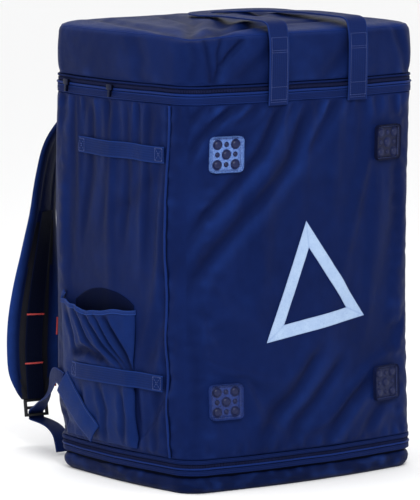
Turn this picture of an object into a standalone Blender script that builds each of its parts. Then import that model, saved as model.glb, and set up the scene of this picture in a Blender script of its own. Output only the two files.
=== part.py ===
"""Insulated delivery backpack, standing on its base.

Metres, +Z up. The front panel faces -Y, the shoulder straps hang behind the back
panel at +Y, and the origin is the middle of the underside of the base.
"""
import math

import bmesh
import bpy
from mathutils import Vector

# Main body
BODY_WIDTH = 0.420
BODY_DEPTH = 0.333
CORNER_RADIUS = 0.040
FRONT_CROWN = 0.013
SIDE_CROWN = 0.007
BACK_CROWN = 0.004
WALL = 0.008
BODY_HEIGHT = 0.495
PUFF = 0.45
SWAY = 0.006
BACK_TUCK = 0.018
TUCK_HEIGHT = 0.140

# Clearances between pieces that touch
GAP = 0.0003
SEAT = 0.0005

# Base and the bands that zip round the body
BASE_HEIGHT = 0.025
BASE_BAND_HEIGHT = 0.023
BASE_EDGE = 0.010
TOP_BAND_HEIGHT = 0.026
BAND_THICKNESS = 0.004

# Lid
LID_HEIGHT = 0.074
LID_CROWN = 0.009
LID_EDGE = 0.014

# Folds of the padded cloth
FOLD_DEPTH = 0.0052
FOLD_BREADTH = 0.017
GATHER_DEPTH = 0.0040
GATHER_PITCH = 0.042
GATHER_FADE = 0.050

# Webbing and trim
PIPING_RADIUS = 0.0022
WEBBING_THICKNESS = 0.0018
SIDE_STRAP_WIDTH = 0.023
SIDE_STRAP_BACK = 0.078
SIDE_STRAP_FRONT = 0.119
UPPER_STRAP_LEVEL = 0.473
LOWER_STRAP_LEVEL = 0.153
HANDLE_WIDTH = 0.034
HANDLE_THICKNESS = 0.0026
HANDLE_SPACING = 0.142
HANDLE_CENTRE = 0.007
HANDLE_REACH = 0.215
HANDLE_ARCH = 0.011

# Side pockets
POCKET_BACK = 0.116
POCKET_FRONT = 0.060
POCKET_BOTTOM = 0.054
POCKET_HEIGHT = 0.196
POCKET_DEPTH = 0.022
POCKET_WALL = 0.0018
HEM_THICKNESS = 0.0016

# Studded patches and the tape triangle
PATCH_SIZE = 0.050
PATCH_CORNER = 0.008
PATCH_THICKNESS = 0.0022
PATCH_SPACING = 0.290
PATCH_LOW = 0.128
PATCH_HIGH = 0.474
STUD_RADIUS = 0.0062
STUD_HEIGHT = 0.0030
SMALL_STUD_RADIUS = 0.0032
STUD_PITCH = 0.0135
TRIANGLE_SIDE = 0.181
TRIANGLE_TAPE = 0.019
TRIANGLE_THICKNESS = 0.0010
TRIANGLE_X = 0.007
TRIANGLE_Z = 0.269
TRIANGLE_TILT = math.radians(7.6)

# Shoulder straps, their yoke and their lower anchors
PAD_THICKNESS = 0.013
PAD_WIDTH = 0.074
STRAP_BOW = 0.130
STRAP_SPREAD = 0.140
YOKE_HEIGHT = 0.036
YOKE_WIDTH = 0.330
YOKE_THICKNESS = 0.003
DAISY_WIDTH = 0.025
LOCK_WIDTH = 0.036
LOCK_THICKNESS = 0.0044
LOCK_BAR = 0.0042
LOCK_SLOT = 0.0066
LOCK_SLOT_WIDTH = 0.026
ANCHOR_WEB_WIDTH = 0.023
TAIL_LENGTH = 0.110
WING_WIDTH = 0.040
WING_THICKNESS = 0.0022
WING_LOW_Y = BODY_DEPTH * 0.084
WING_LOW_Z = 0.064
WING_HIGH_Y = BODY_DEPTH * 0.330
WING_HIGH_Z = 0.130

# Zip sliders
SLIDER_LENGTH = 0.012
SLIDER_HEIGHT = 0.0085
SLIDER_THICKNESS = 0.0042
PULL_LENGTH = 0.026
PULL_WIDTH = 0.0045

# Steps in each mesh
FRONT_STEPS = 14
SIDE_STEPS = 10
BACK_STEPS = 6
CORNER_STEPS = 4
BODY_ROWS = 15
POCKET_COLUMNS = 10
POCKET_ROWS = 7

# Levels that the pieces share
BODY_BOTTOM = BASE_HEIGHT + BASE_BAND_HEIGHT
BODY_TOP = BODY_BOTTOM + BODY_HEIGHT
LID_BOTTOM = BODY_TOP + TOP_BAND_HEIGHT
LID_TOP = LID_BOTTOM + LID_HEIGHT

HALF_RUN = {
    "front": BODY_WIDTH / 2 - CORNER_RADIUS,
    "right": BODY_DEPTH / 2 - CORNER_RADIUS,
    "back": BODY_WIDTH / 2 - CORNER_RADIUS,
    "left": BODY_DEPTH / 2 - CORNER_RADIUS,
}
REACH = {
    "front": BODY_DEPTH / 2,
    "right": BODY_WIDTH / 2,
    "back": BODY_DEPTH / 2,
    "left": BODY_WIDTH / 2,
}
CROWN = {"front": FRONT_CROWN, "right": SIDE_CROWN, "back": BACK_CROWN, "left": SIDE_CROWN}
STEPS = {"front": FRONT_STEPS, "right": SIDE_STEPS, "back": BACK_STEPS, "left": SIDE_STEPS}
OUTWARD = {
    "front": Vector((0, -1, 0)),
    "right": Vector((1, 0, 0)),
    "back": Vector((0, 1, 0)),
    "left": Vector((-1, 0, 0)),
}
ALONG = {
    "front": Vector((1, 0, 0)),
    "right": Vector((0, 1, 0)),
    "back": Vector((-1, 0, 0)),
    "left": Vector((0, -1, 0)),
}

# Folds pressed into the cloth, as straight creases between two places.
# Columns: panel, across and up of the first end, panel, across and up of the second
# end, depth and breadth. Across runs from -1 to 1 along a panel, counter-clockwise
# seen from above, up runs from 0 to 1 over the body, and the last two are shares of
# FOLD_DEPTH and FOLD_BREADTH.
FOLDS = (
    ("front", -0.18, 1.00, "front", -0.96, 0.52, 1.00, 1.00),
    ("front", -0.46, 1.00, "front", -0.98, 0.72, 0.85, 0.80),
    ("front", -0.80, 0.98, "front", -1.00, 0.86, 0.80, 0.70),
    ("front", 0.10, 0.62, "front", -0.70, 0.22, 0.55, 1.20),
    ("front", 0.26, 0.30, "front", -0.52, 0.03, 1.00, 0.90),
    ("front", 0.70, 0.24, "front", 0.12, 0.01, 0.95, 0.90),
    ("front", 0.98, 0.22, "front", 0.52, 0.01, 0.80, 0.80),
    ("front", 0.96, 0.95, "front", 0.66, 0.58, 0.60, 1.10),
    ("left", -0.86, 0.95, "left", -0.78, 0.30, 0.80, 1.00),
    ("left", 0.60, 0.99, "left", 0.52, 0.20, 0.70, 1.00),
    ("left", -0.20, 0.98, "left", -0.02, 0.50, 0.80, 0.90),
    ("left", 0.95, 0.34, "left", 0.62, 0.02, 0.80, 0.80),
    ("right", 0.86, 0.95, "right", 0.78, 0.30, 0.80, 1.00),
    ("right", -0.60, 0.99, "right", -0.52, 0.20, 0.70, 1.00),
    ("right", 0.20, 0.98, "right", 0.02, 0.50, 0.80, 0.90),
    ("back", -0.70, 0.80, "back", -0.30, 0.10, 0.70, 1.30),
    ("back", 0.70, 0.80, "back", 0.30, 0.10, 0.70, 1.30),
)

# Outline of the base from the floor up.
# Columns: height as a share of BASE_HEIGHT, inset as a share of BASE_EDGE.
BASE_ROWS = ((0.0, 0.80), (0.14, 0.30), (0.45, -0.12), (0.85, 0.0), (1.0, 0.22))

# Side of the lid from its lower edge up.
# Columns: height as a share of LID_HEIGHT, inset as a share of LID_EDGE.
LID_ROWS = ((0.0, 0.0), (0.22, -0.14), (0.55, -0.16), (0.84, 0.06), (0.95, 0.38), (1.0, 1.0))

# Rings of the lid's top, from the edge in: share of the outline, share of the crown.
LID_RINGS = ((0.82, 0.48), (0.56, 0.84), (0.24, 1.0))

# Places where the lid has sunk: across and along as shares of half the body's width
# and depth, drop as a share of LID_CROWN, radius as a share of LID_HEIGHT.
LID_DENTS = (
    (-0.98, -0.98, 0.95, 0.75),
    (-0.55, -0.80, 0.35, 0.60),
    (-0.40, 0.30, 0.25, 0.90),
    (0.20, -0.35, 0.20, 0.90),
    (0.95, 0.80, 0.35, 0.80),
)

# Rise of a pocket off the body, from its bottom seam up to its hem.
# Columns: height as a share of POCKET_HEIGHT, rise as a share of POCKET_DEPTH.
POCKET_RISE = ((0.0, 0.0), (0.12, 0.26), (0.30, 0.42), (0.52, 0.44), (0.74, 0.68), (1.0, 1.0))

# Shoulder strap from its sewn top down to the lock.
# Columns: height as a share of the body's height, distance behind the body as a share
# of STRAP_BOW, distance from the middle as a share of STRAP_SPREAD, turn in degrees,
# width as a share of PAD_WIDTH.
STRAP_ROWS = (
    (0.985, 0.000, 0.72, 0, 0.66),
    (0.960, 0.004, 0.74, 2, 0.66),
    (0.915, 0.330, 0.84, 16, 0.66),
    (0.835, 0.575, 0.95, 24, 0.68),
    (0.740, 0.665, 1.00, 24, 0.72),
    (0.620, 0.740, 1.01, 18, 0.78),
    (0.500, 0.815, 1.01, 4, 0.86),
    (0.390, 0.900, 1.00, -10, 0.94),
    (0.290, 0.965, 0.99, -20, 1.00),
    (0.200, 1.000, 0.98, -25, 1.00),
    (0.125, 1.000, 0.97, -26, 0.96),
    (0.075, 0.985, 0.97, -26, 0.74),
    (0.045, 0.970, 0.97, -26, 0.52),
)

# Free end of the anchor webbing below its lock, as shares of TAIL_LENGTH.
# Columns: outwards, forwards and down from the lower bar of the lock.
TAIL_ROWS = (
    (0.00, 0.22, 0.02),
    (0.04, 0.46, 0.05),
    (0.09, 0.66, 0.12),
    (0.12, 0.76, 0.24),
    (0.13, 0.80, 0.33),
)

# Looks of the finishes: colour, roughness and metallic.
FINISHES = {
    "navy_cloth": ((0.012, 0.026, 0.110), 0.62, 0.0),
    "navy_webbing": ((0.014, 0.030, 0.120), 0.50, 0.0),
    "dark_mesh": ((0.006, 0.008, 0.022), 0.80, 0.0),
    "zip_coil": ((0.020, 0.030, 0.085), 0.35, 0.0),
    "reflective_tape": ((0.62, 0.70, 0.86), 0.30, 0.0),
    "moulded_patch": ((0.030, 0.070, 0.200), 0.45, 0.0),
    "black_plastic": ((0.010, 0.011, 0.016), 0.38, 0.0),
    "slider_metal": ((0.30, 0.32, 0.38), 0.35, 1.0),
}


def clear_scene():
    """Remove every object that the file starts with."""
    for thing in list(bpy.data.objects):
        bpy.data.objects.remove(thing, do_unlink=True)


def make_finish(name):
    """A Principled material for one finish of the table."""
    colour, roughness, metallic = FINISHES[name]
    material = bpy.data.materials.new(name)
    material.use_nodes = True
    shader = material.node_tree.nodes["Principled BSDF"]
    shader.inputs["Base Color"].default_value = (*colour, 1.0)
    shader.inputs["Roughness"].default_value = roughness
    shader.inputs["Metallic"].default_value = metallic
    return material


def add_piece(name, mesh_builder, finish):
    """One named object from a bmesh, with its faces pointing outwards."""
    bmesh.ops.remove_doubles(mesh_builder, verts=mesh_builder.verts, dist=1e-7)
    bmesh.ops.triangulate(mesh_builder, faces=mesh_builder.faces, quad_method="FIXED")
    bmesh.ops.recalc_face_normals(mesh_builder, faces=mesh_builder.faces)
    mesh = bpy.data.meshes.new(name)
    mesh_builder.to_mesh(mesh)
    mesh_builder.free()
    mesh.materials.append(bpy.data.materials[finish])
    mesh.shade_smooth()
    mesh.set_sharp_from_angle(angle=math.radians(40))
    piece = bpy.data.objects.new(name, mesh)
    bpy.context.collection.objects.link(piece)
    return piece


def cap(mesh_builder, ring):
    """Close a ring of vertices with a fan round its middle."""
    middle = sum((vertex.co for vertex in ring), Vector()) / len(ring)
    hub = mesh_builder.verts.new(middle)
    for index, vertex in enumerate(ring):
        mesh_builder.faces.new((vertex, ring[(index + 1) % len(ring)], hub))


def loft(loops, joined=False):
    """A closed skin through loops of equally many points.

    The first and last loops are capped, or joined to each other.
    """
    mesh_builder = bmesh.new()
    rings = [[mesh_builder.verts.new(point) for point in loop] for loop in loops]
    pairs = list(zip(rings, rings[1:]))
    if joined:
        pairs.append((rings[-1], rings[0]))
    for lower, upper in pairs:
        count = len(lower)
        for index in range(count):
            after = (index + 1) % count
            mesh_builder.faces.new((lower[index], lower[after], upper[after], upper[index]))
    if not joined:
        cap(mesh_builder, rings[0])
        cap(mesh_builder, rings[-1])
    return mesh_builder


def interpolate(table, share):
    """Value of a two-column table at a share, with smooth steps between its rows."""
    for (low, first), (high, second) in zip(table, table[1:]):
        if share <= high:
            step = max(0.0, (share - low) / (high - low))
            return first + (second - first) * step
    return table[-1][1]


def smooth_rows(rows, steps):
    """Rows of numbers joined by a Catmull-Rom curve, with steps between two rows."""
    padded = [rows[0], *rows, rows[-1]]
    result = []
    for before, start, end, after in zip(padded, padded[1:], padded[2:], padded[3:]):
        for step in range(steps):
            t = step / steps
            result.append([
                0.5 * (2 * b + (c - a) * t + (2 * a - 5 * b + 4 * c - d) * t ** 2
                       + (3 * b - a - 3 * c + d) * t ** 3)
                for a, b, c, d in zip(before, start, end, after)
            ])
    result.append(list(rows[-1]))
    return result


def panel_station(panel, across):
    """Base point, outward direction and crown at a place across a panel, -1 to 1."""
    base = OUTWARD[panel] * REACH[panel] + ALONG[panel] * (HALF_RUN[panel] * across)
    return base, OUTWARD[panel], CROWN[panel] * (1 - across ** 2)


def corner_station(panel, share):
    """The same on the corner that follows a panel, from 0 to 1."""
    turn = share * math.pi / 2
    direction = OUTWARD[panel] * math.cos(turn) + ALONG[panel] * math.sin(turn)
    centre = OUTWARD[panel] * (REACH[panel] - CORNER_RADIUS) + ALONG[panel] * HALF_RUN[panel]
    return centre + direction * CORNER_RADIUS, direction, 0.0


def plan_stations():
    """Stations right round the body, counter-clockwise seen from above."""
    stations = []
    for panel in ("front", "right", "back", "left"):
        steps = STEPS[panel]
        stations += [panel_station(panel, 2 * step / steps - 1) for step in range(steps + 1)]
        stations += [corner_station(panel, step / CORNER_STEPS) for step in range(1, CORNER_STEPS)]
    return stations


def middle_share(z):
    """1 at half the height of the body, 0 at its seams and beyond."""
    share = (z - BODY_BOTTOM) / BODY_HEIGHT
    return max(0.0, 1 - (2 * share - 1) ** 2)


def skin(station, z, out=0.0):
    """Point of the body's outer form at a station and height, moved outwards."""
    base, direction, crown = station
    point = base + direction * (crown * (1 + PUFF * middle_share(z)) + out)
    point.x -= SWAY * middle_share(z)
    tuck = BACK_TUCK * max(0.0, 1 - z / TUCK_HEIGHT) ** 2
    point.y -= tuck * (point.y / BODY_DEPTH + 0.5)
    point.z = z
    return point


def skin_at(panel, distance, z, out=0.0):
    """The same at a distance in metres along a panel, from its middle."""
    return skin(panel_station(panel, distance / HALF_RUN[panel]), z, out)


def fold_place(panel, across, up):
    """Point of the body's outer form that ends a fold."""
    return skin(panel_station(panel, across), BODY_BOTTOM + up * BODY_HEIGHT)


def distance_to_crease(point, start, end):
    """Distance from a point to a straight crease."""
    run = end - start
    share = max(0.0, min(1.0, (point - start).dot(run) / run.length_squared))
    return (point - start - run * share).length


def held_flat(point):
    """0 under a moulded patch, which holds the cloth flat, and 1 away from it."""
    if point.y > -BODY_DEPTH / 2 + CORNER_RADIUS / 2:
        return 1.0
    nearest = min(
        max(abs(point.x - side * PATCH_SPACING / 2), abs(point.z - level))
        for side in (-1, 1) for level in (PATCH_LOW, PATCH_HIGH)
    )
    return max(0.0, min(1.0, nearest / PATCH_SIZE * 2.5 - 1.25))


def fold_depth(point, station):
    """How far the cloth is pressed in at a point of the body."""
    depth = 0.0
    for panel_a, across_a, up_a, panel_b, across_b, up_b, deep, broad in FOLDS:
        start = fold_place(panel_a, across_a, up_a)
        end = fold_place(panel_b, across_b, up_b)
        away = distance_to_crease(point, start, end) / (FOLD_BREADTH * broad)
        depth = max(depth, FOLD_DEPTH * deep * math.exp(-away ** 2))
    base = station[0]
    along = abs(base.x) + abs(base.y)
    ripple = 0.5 - 0.5 * math.cos(2 * math.pi * along / GATHER_PITCH)
    fade = max(0.0, 1 - (BODY_TOP - point.z) / GATHER_FADE)
    return max(depth, GATHER_DEPTH * ripple * fade) * held_flat(point)


def make_body():
    """Padded walls and floor of the main compartment, open at the top.

    Above the cloth a thinner collar of padding stands behind the upper zip band.
    """
    stations = plan_stations()
    loops = []
    for row in range(BODY_ROWS + 1):
        z = BODY_BOTTOM + BODY_HEIGHT * row / BODY_ROWS
        loop = []
        for station in stations:
            smooth = skin(station, z)
            pressed = 0.0 if row in (0, BODY_ROWS) else fold_depth(smooth, station)
            loop.append(skin(station, z, -pressed))
        loops.append(loop)
    collar = BAND_THICKNESS + GAP
    for z in (BODY_TOP, LID_BOTTOM):
        loops.append([skin(station, z, -collar) for station in stations])
    floor = BODY_BOTTOM + WALL
    for share in (1.0, 0.66, 0.33, 0.0):
        z = floor + (LID_BOTTOM - floor) * share
        loops.append([skin(station, z, -WALL) for station in stations])
    add_piece("body_shell", loft(loops), "navy_cloth")


def make_base():
    """Padded base with a narrower core that the lower zip band goes round."""
    stations = plan_stations()
    loops = []
    for height, inset in BASE_ROWS:
        z = BASE_HEIGHT * height
        loops.append([skin(station, z, -BASE_EDGE * inset) for station in stations])
    core = BAND_THICKNESS + GAP
    for z in (BASE_HEIGHT, BODY_BOTTOM - GAP):
        loops.append([skin(station, z, -core) for station in stations])
    add_piece("base_pad", loft(loops), "navy_cloth")


def make_ring(name, bottom, top, outer, inner, finish):
    """Band round the body between two levels and two depths under its surface."""
    stations = plan_stations()
    corners = ((bottom, outer), (top, outer), (top, inner), (bottom, inner))
    loops = [[skin(station, z, out) for station in stations] for z, out in corners]
    add_piece(name, loft(loops, joined=True), finish)


def make_bands():
    """The two zip bands, each a lower tape, a coil and an upper tape.

    Columns: name, bottom and top as shares of the band, proud of the body, finish.
    """
    layers = (
        ("tape_lower", 0.00, 0.50, 0.0004, "navy_webbing"),
        ("coil", 0.50, 0.74, 0.0012, "zip_coil"),
        ("tape_upper", 0.74, 1.00, 0.0004, "navy_webbing"),
    )
    bands = (
        ("top", BODY_TOP, TOP_BAND_HEIGHT),
        ("base", BASE_HEIGHT, BASE_BAND_HEIGHT),
    )
    for band, start, height in bands:
        for layer, low, high, proud, finish in layers:
            bottom = start + height * low + GAP
            top = start + height * high
            if band == "base" and layer == "tape_upper":
                top -= GAP
            make_ring(f"{band}_{layer}", bottom, top, proud, -BAND_THICKNESS, finish)


def lid_drop(point):
    """How far the lid has sunk at a point of it."""
    drop = 0.0
    for across, along, deep, wide in LID_DENTS:
        away_x = point.x - across * BODY_WIDTH / 2
        away_y = point.y - along * BODY_DEPTH / 2
        away = math.hypot(away_x, away_y) / (LID_HEIGHT * wide)
        drop = max(drop, LID_CROWN * deep * math.exp(-away ** 2))
    return drop * max(0.0, (point.z - LID_BOTTOM) / LID_HEIGHT)


def sink(point):
    """Lower a point of the lid by its drop."""
    point.z -= lid_drop(point)
    return point


def lid_ring(stations, share, rise, inset, thickness):
    """Ring of the lid's top at a share of its outline."""
    ring = []
    for station in stations:
        edge = skin(station, LID_TOP, -inset)
        point = Vector((edge.x * share, edge.y * share, LID_TOP + LID_CROWN * rise))
        ring.append(sink(point) - Vector((0, 0, thickness)))
    return ring


def make_lid():
    """Padded cap of the backpack, hollow below."""
    stations = plan_stations()
    loops = []
    for height, inset in LID_ROWS:
        z = LID_BOTTOM + GAP + (LID_HEIGHT - GAP) * height
        loops.append([sink(skin(station, z, -LID_EDGE * inset)) for station in stations])
    for share, rise in LID_RINGS:
        loops.append(lid_ring(stations, share, rise, LID_EDGE, 0.0))
    for share, rise in (LID_RINGS[-1], LID_RINGS[0]):
        loops.append(lid_ring(stations, share, rise, LID_EDGE, WALL))
    for height, inset in ((0.82, 1.0), (0.0, 0.0)):
        z = LID_BOTTOM + GAP + (LID_HEIGHT - GAP) * height
        inner = WALL + LID_EDGE * inset * 0.4
        loops.append([sink(skin(station, z, -inner)) for station in stations])
    mesh_builder = bmesh.new()
    rings = [[mesh_builder.verts.new(point) for point in loop] for loop in loops]
    turn = len(LID_ROWS) + len(LID_RINGS)
    for lower, upper in list(zip(rings, rings[1:])) + [(rings[-1], rings[0])]:
        if lower is rings[turn - 1]:
            continue
        for index in range(len(lower)):
            after = (index + 1) % len(lower)
            mesh_builder.faces.new((lower[index], lower[after], upper[after], upper[index]))
    cap(mesh_builder, rings[turn - 1])
    cap(mesh_builder, rings[turn])
    add_piece("lid", mesh_builder, "navy_cloth")


def make_piping():
    """Piping down the two front edges, where the front panel meets the sides."""
    sides = 6
    bottom = BODY_BOTTOM + PIPING_RADIUS
    top = BODY_TOP - PIPING_RADIUS
    for panel, name in (("left", "piping_left"), ("right", "piping_right")):
        across = 1.0 if panel == "left" else -1.0
        station = panel_station(panel, across)
        loops = []
        for row in range(BODY_ROWS + 1):
            z = bottom + (top - bottom) * row / BODY_ROWS
            centre = skin(station, z, SEAT + PIPING_RADIUS)
            loop = []
            for side in range(sides):
                turn = 2 * math.pi * (side + 0.5) / sides
                offset = Vector((math.cos(turn), math.sin(turn), 0)) * PIPING_RADIUS
                loop.append(centre + offset)
            loops.append(loop)
        add_piece(name, loft(loops), "navy_webbing")


def pocket_rise(distance, z):
    """Rise of a pocket off the body at a distance behind its front edge's panel middle."""
    across = (distance + POCKET_FRONT) / (POCKET_BACK + POCKET_FRONT)
    up = (z - POCKET_BOTTOM) / POCKET_HEIGHT
    if not (0 < across < 1 and 0 < up <= 1):
        return 0.0
    ripple = 1 - 0.16 * up ** 2 * (1 - math.cos(2 * math.pi * 3.5 * across)) / 2
    return POCKET_DEPTH * math.sin(math.pi * across) ** 0.7 * interpolate(POCKET_RISE, up) * ripple


def make_pocket(panel, name):
    """Gathered pocket, open along its elastic hem."""
    facing = 1 if panel == "right" else -1
    loops = []
    for column in range(POCKET_COLUMNS + 1):
        share = column / POCKET_COLUMNS
        distance = -POCKET_FRONT + (POCKET_BACK + POCKET_FRONT) * share
        outer = []
        inner = []
        for row in range(POCKET_ROWS + 1):
            up = row / POCKET_ROWS
            z = POCKET_BOTTOM + POCKET_HEIGHT * up
            rise = SEAT + pocket_rise(distance, z)
            hem = HEM_THICKNESS if row == POCKET_ROWS else 0.0
            inner.append(skin_at(panel, facing * distance, z, rise))
            outer.append(skin_at(panel, facing * distance, z, rise + POCKET_WALL + hem))
        loops.append(outer + inner[::-1])
    add_piece(name, loft(loops), "navy_cloth")


def cover(distance, z, margin):
    """Height over the body of what already lies on its side within a margin."""
    highest = 0.0
    for step_y in (-1, 0, 1):
        for step_z in (-1, 0, 1):
            rise = pocket_rise(distance + step_y * margin, z + step_z * margin)
            if rise > 0:
                highest = max(highest, rise + SEAT + POCKET_WALL)
    return highest


def make_side_strap(panel, name, level):
    """Flat webbing across a side, sewn down at its two ends."""
    facing = 1 if panel == "right" else -1
    steps = 10
    loops = []
    for step in range(steps + 1):
        distance = -SIDE_STRAP_FRONT + (SIDE_STRAP_BACK + SIDE_STRAP_FRONT) * step / steps
        reach = cover(distance, level, SIDE_STRAP_WIDTH / 2) + SEAT
        loop = []
        for z, out in (
            (level - SIDE_STRAP_WIDTH / 2, reach),
            (level + SIDE_STRAP_WIDTH / 2, reach),
            (level + SIDE_STRAP_WIDTH / 2, reach + WEBBING_THICKNESS),
            (level - SIDE_STRAP_WIDTH / 2, reach + WEBBING_THICKNESS),
        ):
            loop.append(skin_at(panel, facing * distance, z, out))
        loops.append(loop)
    add_piece(name, loft(loops), "navy_webbing")


def dome(mesh_builder, x, y, radius, height, sides, base):
    """Low dome on the patch, with its foot sunk to the given level."""
    rings = []
    for scale, z in ((1.0, base), (1.0, PATCH_THICKNESS), (0.62, PATCH_THICKNESS + height * 0.8)):
        ring = []
        for side in range(sides):
            turn = 2 * math.pi * (side + 0.5) / sides
            place = (x + radius * scale * math.cos(turn), y + radius * scale * math.sin(turn), z)
            ring.append(mesh_builder.verts.new(place))
        rings.append(ring)
    for lower, upper in zip(rings, rings[1:]):
        for index in range(sides):
            after = (index + 1) % sides
            mesh_builder.faces.new((lower[index], lower[after], upper[after], upper[index]))
    mesh_builder.faces.new(rings[0][::-1])
    hub = mesh_builder.verts.new((x, y, PATCH_THICKNESS + height))
    for index in range(sides):
        mesh_builder.faces.new((rings[-1][index], rings[-1][(index + 1) % sides], hub))


def flat_patch():
    """Moulded patch lying flat: a rounded plate with five large and four small domes."""
    corner_points = 3
    half = PATCH_SIZE / 2 - PATCH_CORNER
    outline = []
    for corner, (sign_x, sign_y) in enumerate(((1, 1), (-1, 1), (-1, -1), (1, -1))):
        for point in range(corner_points):
            turn = math.pi / 2 * (corner + point / (corner_points - 1))
            x = sign_x * half + PATCH_CORNER * math.cos(turn)
            y = sign_y * half + PATCH_CORNER * math.sin(turn)
            outline.append((x, y))
    plate = loft([[(x, y, z) for x, y in outline] for z in (0.0, PATCH_THICKNESS)])
    studs = bmesh.new()
    foot = PATCH_THICKNESS / 2
    for column in (-1, 0, 1):
        for row in (-1, 0, 1):
            large = (column + row) % 2 == 0
            radius = STUD_RADIUS if large else SMALL_STUD_RADIUS
            height = STUD_HEIGHT if large else STUD_HEIGHT * 0.6
            sides = 8 if large else 6
            dome(studs, column * STUD_PITCH, row * STUD_PITCH, radius, height, sides, foot)
    pieces = []
    for name, mesh_builder in (("flat_plate", plate), ("flat_studs", studs)):
        bmesh.ops.recalc_face_normals(mesh_builder, faces=mesh_builder.faces)
        mesh = bpy.data.meshes.new(name)
        mesh_builder.to_mesh(mesh)
        mesh_builder.free()
        piece = bpy.data.objects.new(name, mesh)
        bpy.context.collection.objects.link(piece)
        pieces.append(piece)
    union = pieces[0].modifiers.new("union", "BOOLEAN")
    union.operation = "UNION"
    union.object = pieces[1]
    evaluated = pieces[0].evaluated_get(bpy.context.evaluated_depsgraph_get())
    whole = bmesh.new()
    whole.from_mesh(evaluated.to_mesh())
    bmesh.ops.triangulate(whole, faces=whole.faces)
    for piece in pieces:
        bpy.data.objects.remove(piece, do_unlink=True)
    return whole


def make_patches():
    """The four moulded patches near the corners of the front panel."""
    flat = flat_patch()
    sag = FRONT_CROWN * (1 + PUFF) * (PATCH_SIZE / (2 * HALF_RUN["front"])) ** 2
    for row, z in (("low", PATCH_LOW), ("high", PATCH_HIGH)):
        for column, side in (("left", -1), ("right", 1)):
            patch = flat.copy()
            middle = side * PATCH_SPACING / 2
            for vertex in patch.verts:
                u, v, w = vertex.co
                vertex.co = skin_at("front", middle + u, z + v, SEAT + sag + w)
            add_piece(f"patch_{row}_{column}", patch, "moulded_patch")
    flat.free()


def make_triangle():
    """Triangle of reflective tape on the front panel."""
    steps = 6
    outer = TRIANGLE_SIDE / math.sqrt(3)
    inner = outer - 2 * TRIANGLE_TAPE
    loops = []
    for corner in range(3):
        for step in range(steps):
            share = step / steps
            loop = []
            for radius, out in ((outer, 0.0), (outer, TRIANGLE_THICKNESS),
                                (inner, TRIANGLE_THICKNESS), (inner, 0.0)):
                ends = []
                for index in (corner, corner + 1):
                    turn = math.pi / 2 + index * 2 * math.pi / 3 + TRIANGLE_TILT
                    ends.append(Vector((math.cos(turn), math.sin(turn))) * radius)
                place = ends[0].lerp(ends[1], share)
                x = TRIANGLE_X + place.x
                z = TRIANGLE_Z + place.y
                loop.append(skin_at("front", x, z, SEAT + out))
            loops.append(loop)
    add_piece("reflective_triangle", loft(loops, joined=True), "reflective_tape")


def strip_loops(stations, thickness):
    """Rectangular sections of flat webbing along its middle line.

    Each station is a middle point, the direction across the webbing and its width.
    """
    loops = []
    last = len(stations) - 1
    for index, (middle, across, width) in enumerate(stations):
        before = stations[max(0, index - 1)][0]
        after = stations[min(last, index + 1)][0]
        tangent = (after - before).normalized()
        across = (across - tangent * across.dot(tangent)).normalized()
        face = tangent.cross(across)
        half = across * width / 2
        lift = face * thickness / 2
        loops.append([middle - half - lift, middle + half - lift,
                      middle + half + lift, middle - half + lift])
    return loops


def make_handle():
    """Carry handle: up the front on two legs and back over the lid in one loop."""
    lift = SEAT + HANDLE_THICKNESS / 2
    half = HANDLE_SPACING / 2
    proud = HANDLE_ARCH
    inner_edge = half - HANDLE_WIDTH / 2 - HANDLE_CENTRE
    leg_bottom = BODY_TOP - HANDLE_WIDTH * 0.05
    face = skin_at("front", inner_edge, leg_bottom, lift).y
    top = LID_TOP + lift
    rows = [
        (0.0, face, leg_bottom),
        (0.0, face - proud * 0.28, LID_BOTTOM + LID_HEIGHT * 0.20),
        (0.0, face - proud * 0.30, LID_BOTTOM + LID_HEIGHT * 0.62),
        (0.0, face - proud * 0.15, LID_TOP - LID_EDGE * 0.5),
        (0.0, face + proud * 0.6, top + proud * 0.75),
        (0.0, face + proud * 3.6, top + proud),
        (0.0, face + HANDLE_REACH * 0.50, top + LID_CROWN * 0.75 + proud * 0.45),
        (0.0, face + HANDLE_REACH - half * 0.8, top + LID_CROWN + SEAT),
    ]
    leg = [Vector(row) for row in smooth_rows(rows, 2)]
    stations = []
    for point in leg:
        middle = Vector((HANDLE_CENTRE - half, point.y, point.z))
        stations.append((middle, Vector((1, 0, 0)), HANDLE_WIDTH))
    end = leg[-1]
    turns = 10
    for turn in range(1, turns):
        angle = math.pi * turn / turns
        x = HANDLE_CENTRE - half * math.cos(angle)
        y = end.y + half * 0.9 * math.sin(angle)
        across = Vector((math.cos(angle), -math.sin(angle) * 1.1, 0))
        stations.append((Vector((x, y, end.z)), across, HANDLE_WIDTH * 0.94))
    for point in reversed(leg):
        middle = Vector((HANDLE_CENTRE + half, point.y, point.z))
        stations.append((middle, Vector((-1, 0, 0)), HANDLE_WIDTH))
    add_piece("carry_handle", loft(strip_loops(stations, HANDLE_THICKNESS)), "navy_webbing")


def strap_frames(side):
    """Middle, direction across and width of a shoulder strap, from the top down."""
    frames = []
    level, _, spread, _, width = STRAP_ROWS[0]
    inner_edge = STRAP_SPREAD * spread - PAD_WIDTH * width / 2
    top = BODY_BOTTOM + BODY_HEIGHT * level
    back = skin_at("back", inner_edge, top, SEAT + YOKE_THICKNESS + GAP).y
    for height, behind, spread, turn, width in STRAP_ROWS:
        angle = math.radians(turn) * -side
        middle = Vector((
            side * STRAP_SPREAD * spread,
            back + STRAP_BOW * behind + PAD_THICKNESS / 2,
            BODY_BOTTOM + BODY_HEIGHT * height,
        ))
        across = Vector((math.cos(angle), math.sin(angle), 0))
        frames.append((middle, across, PAD_WIDTH * width))
    return frames


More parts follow.
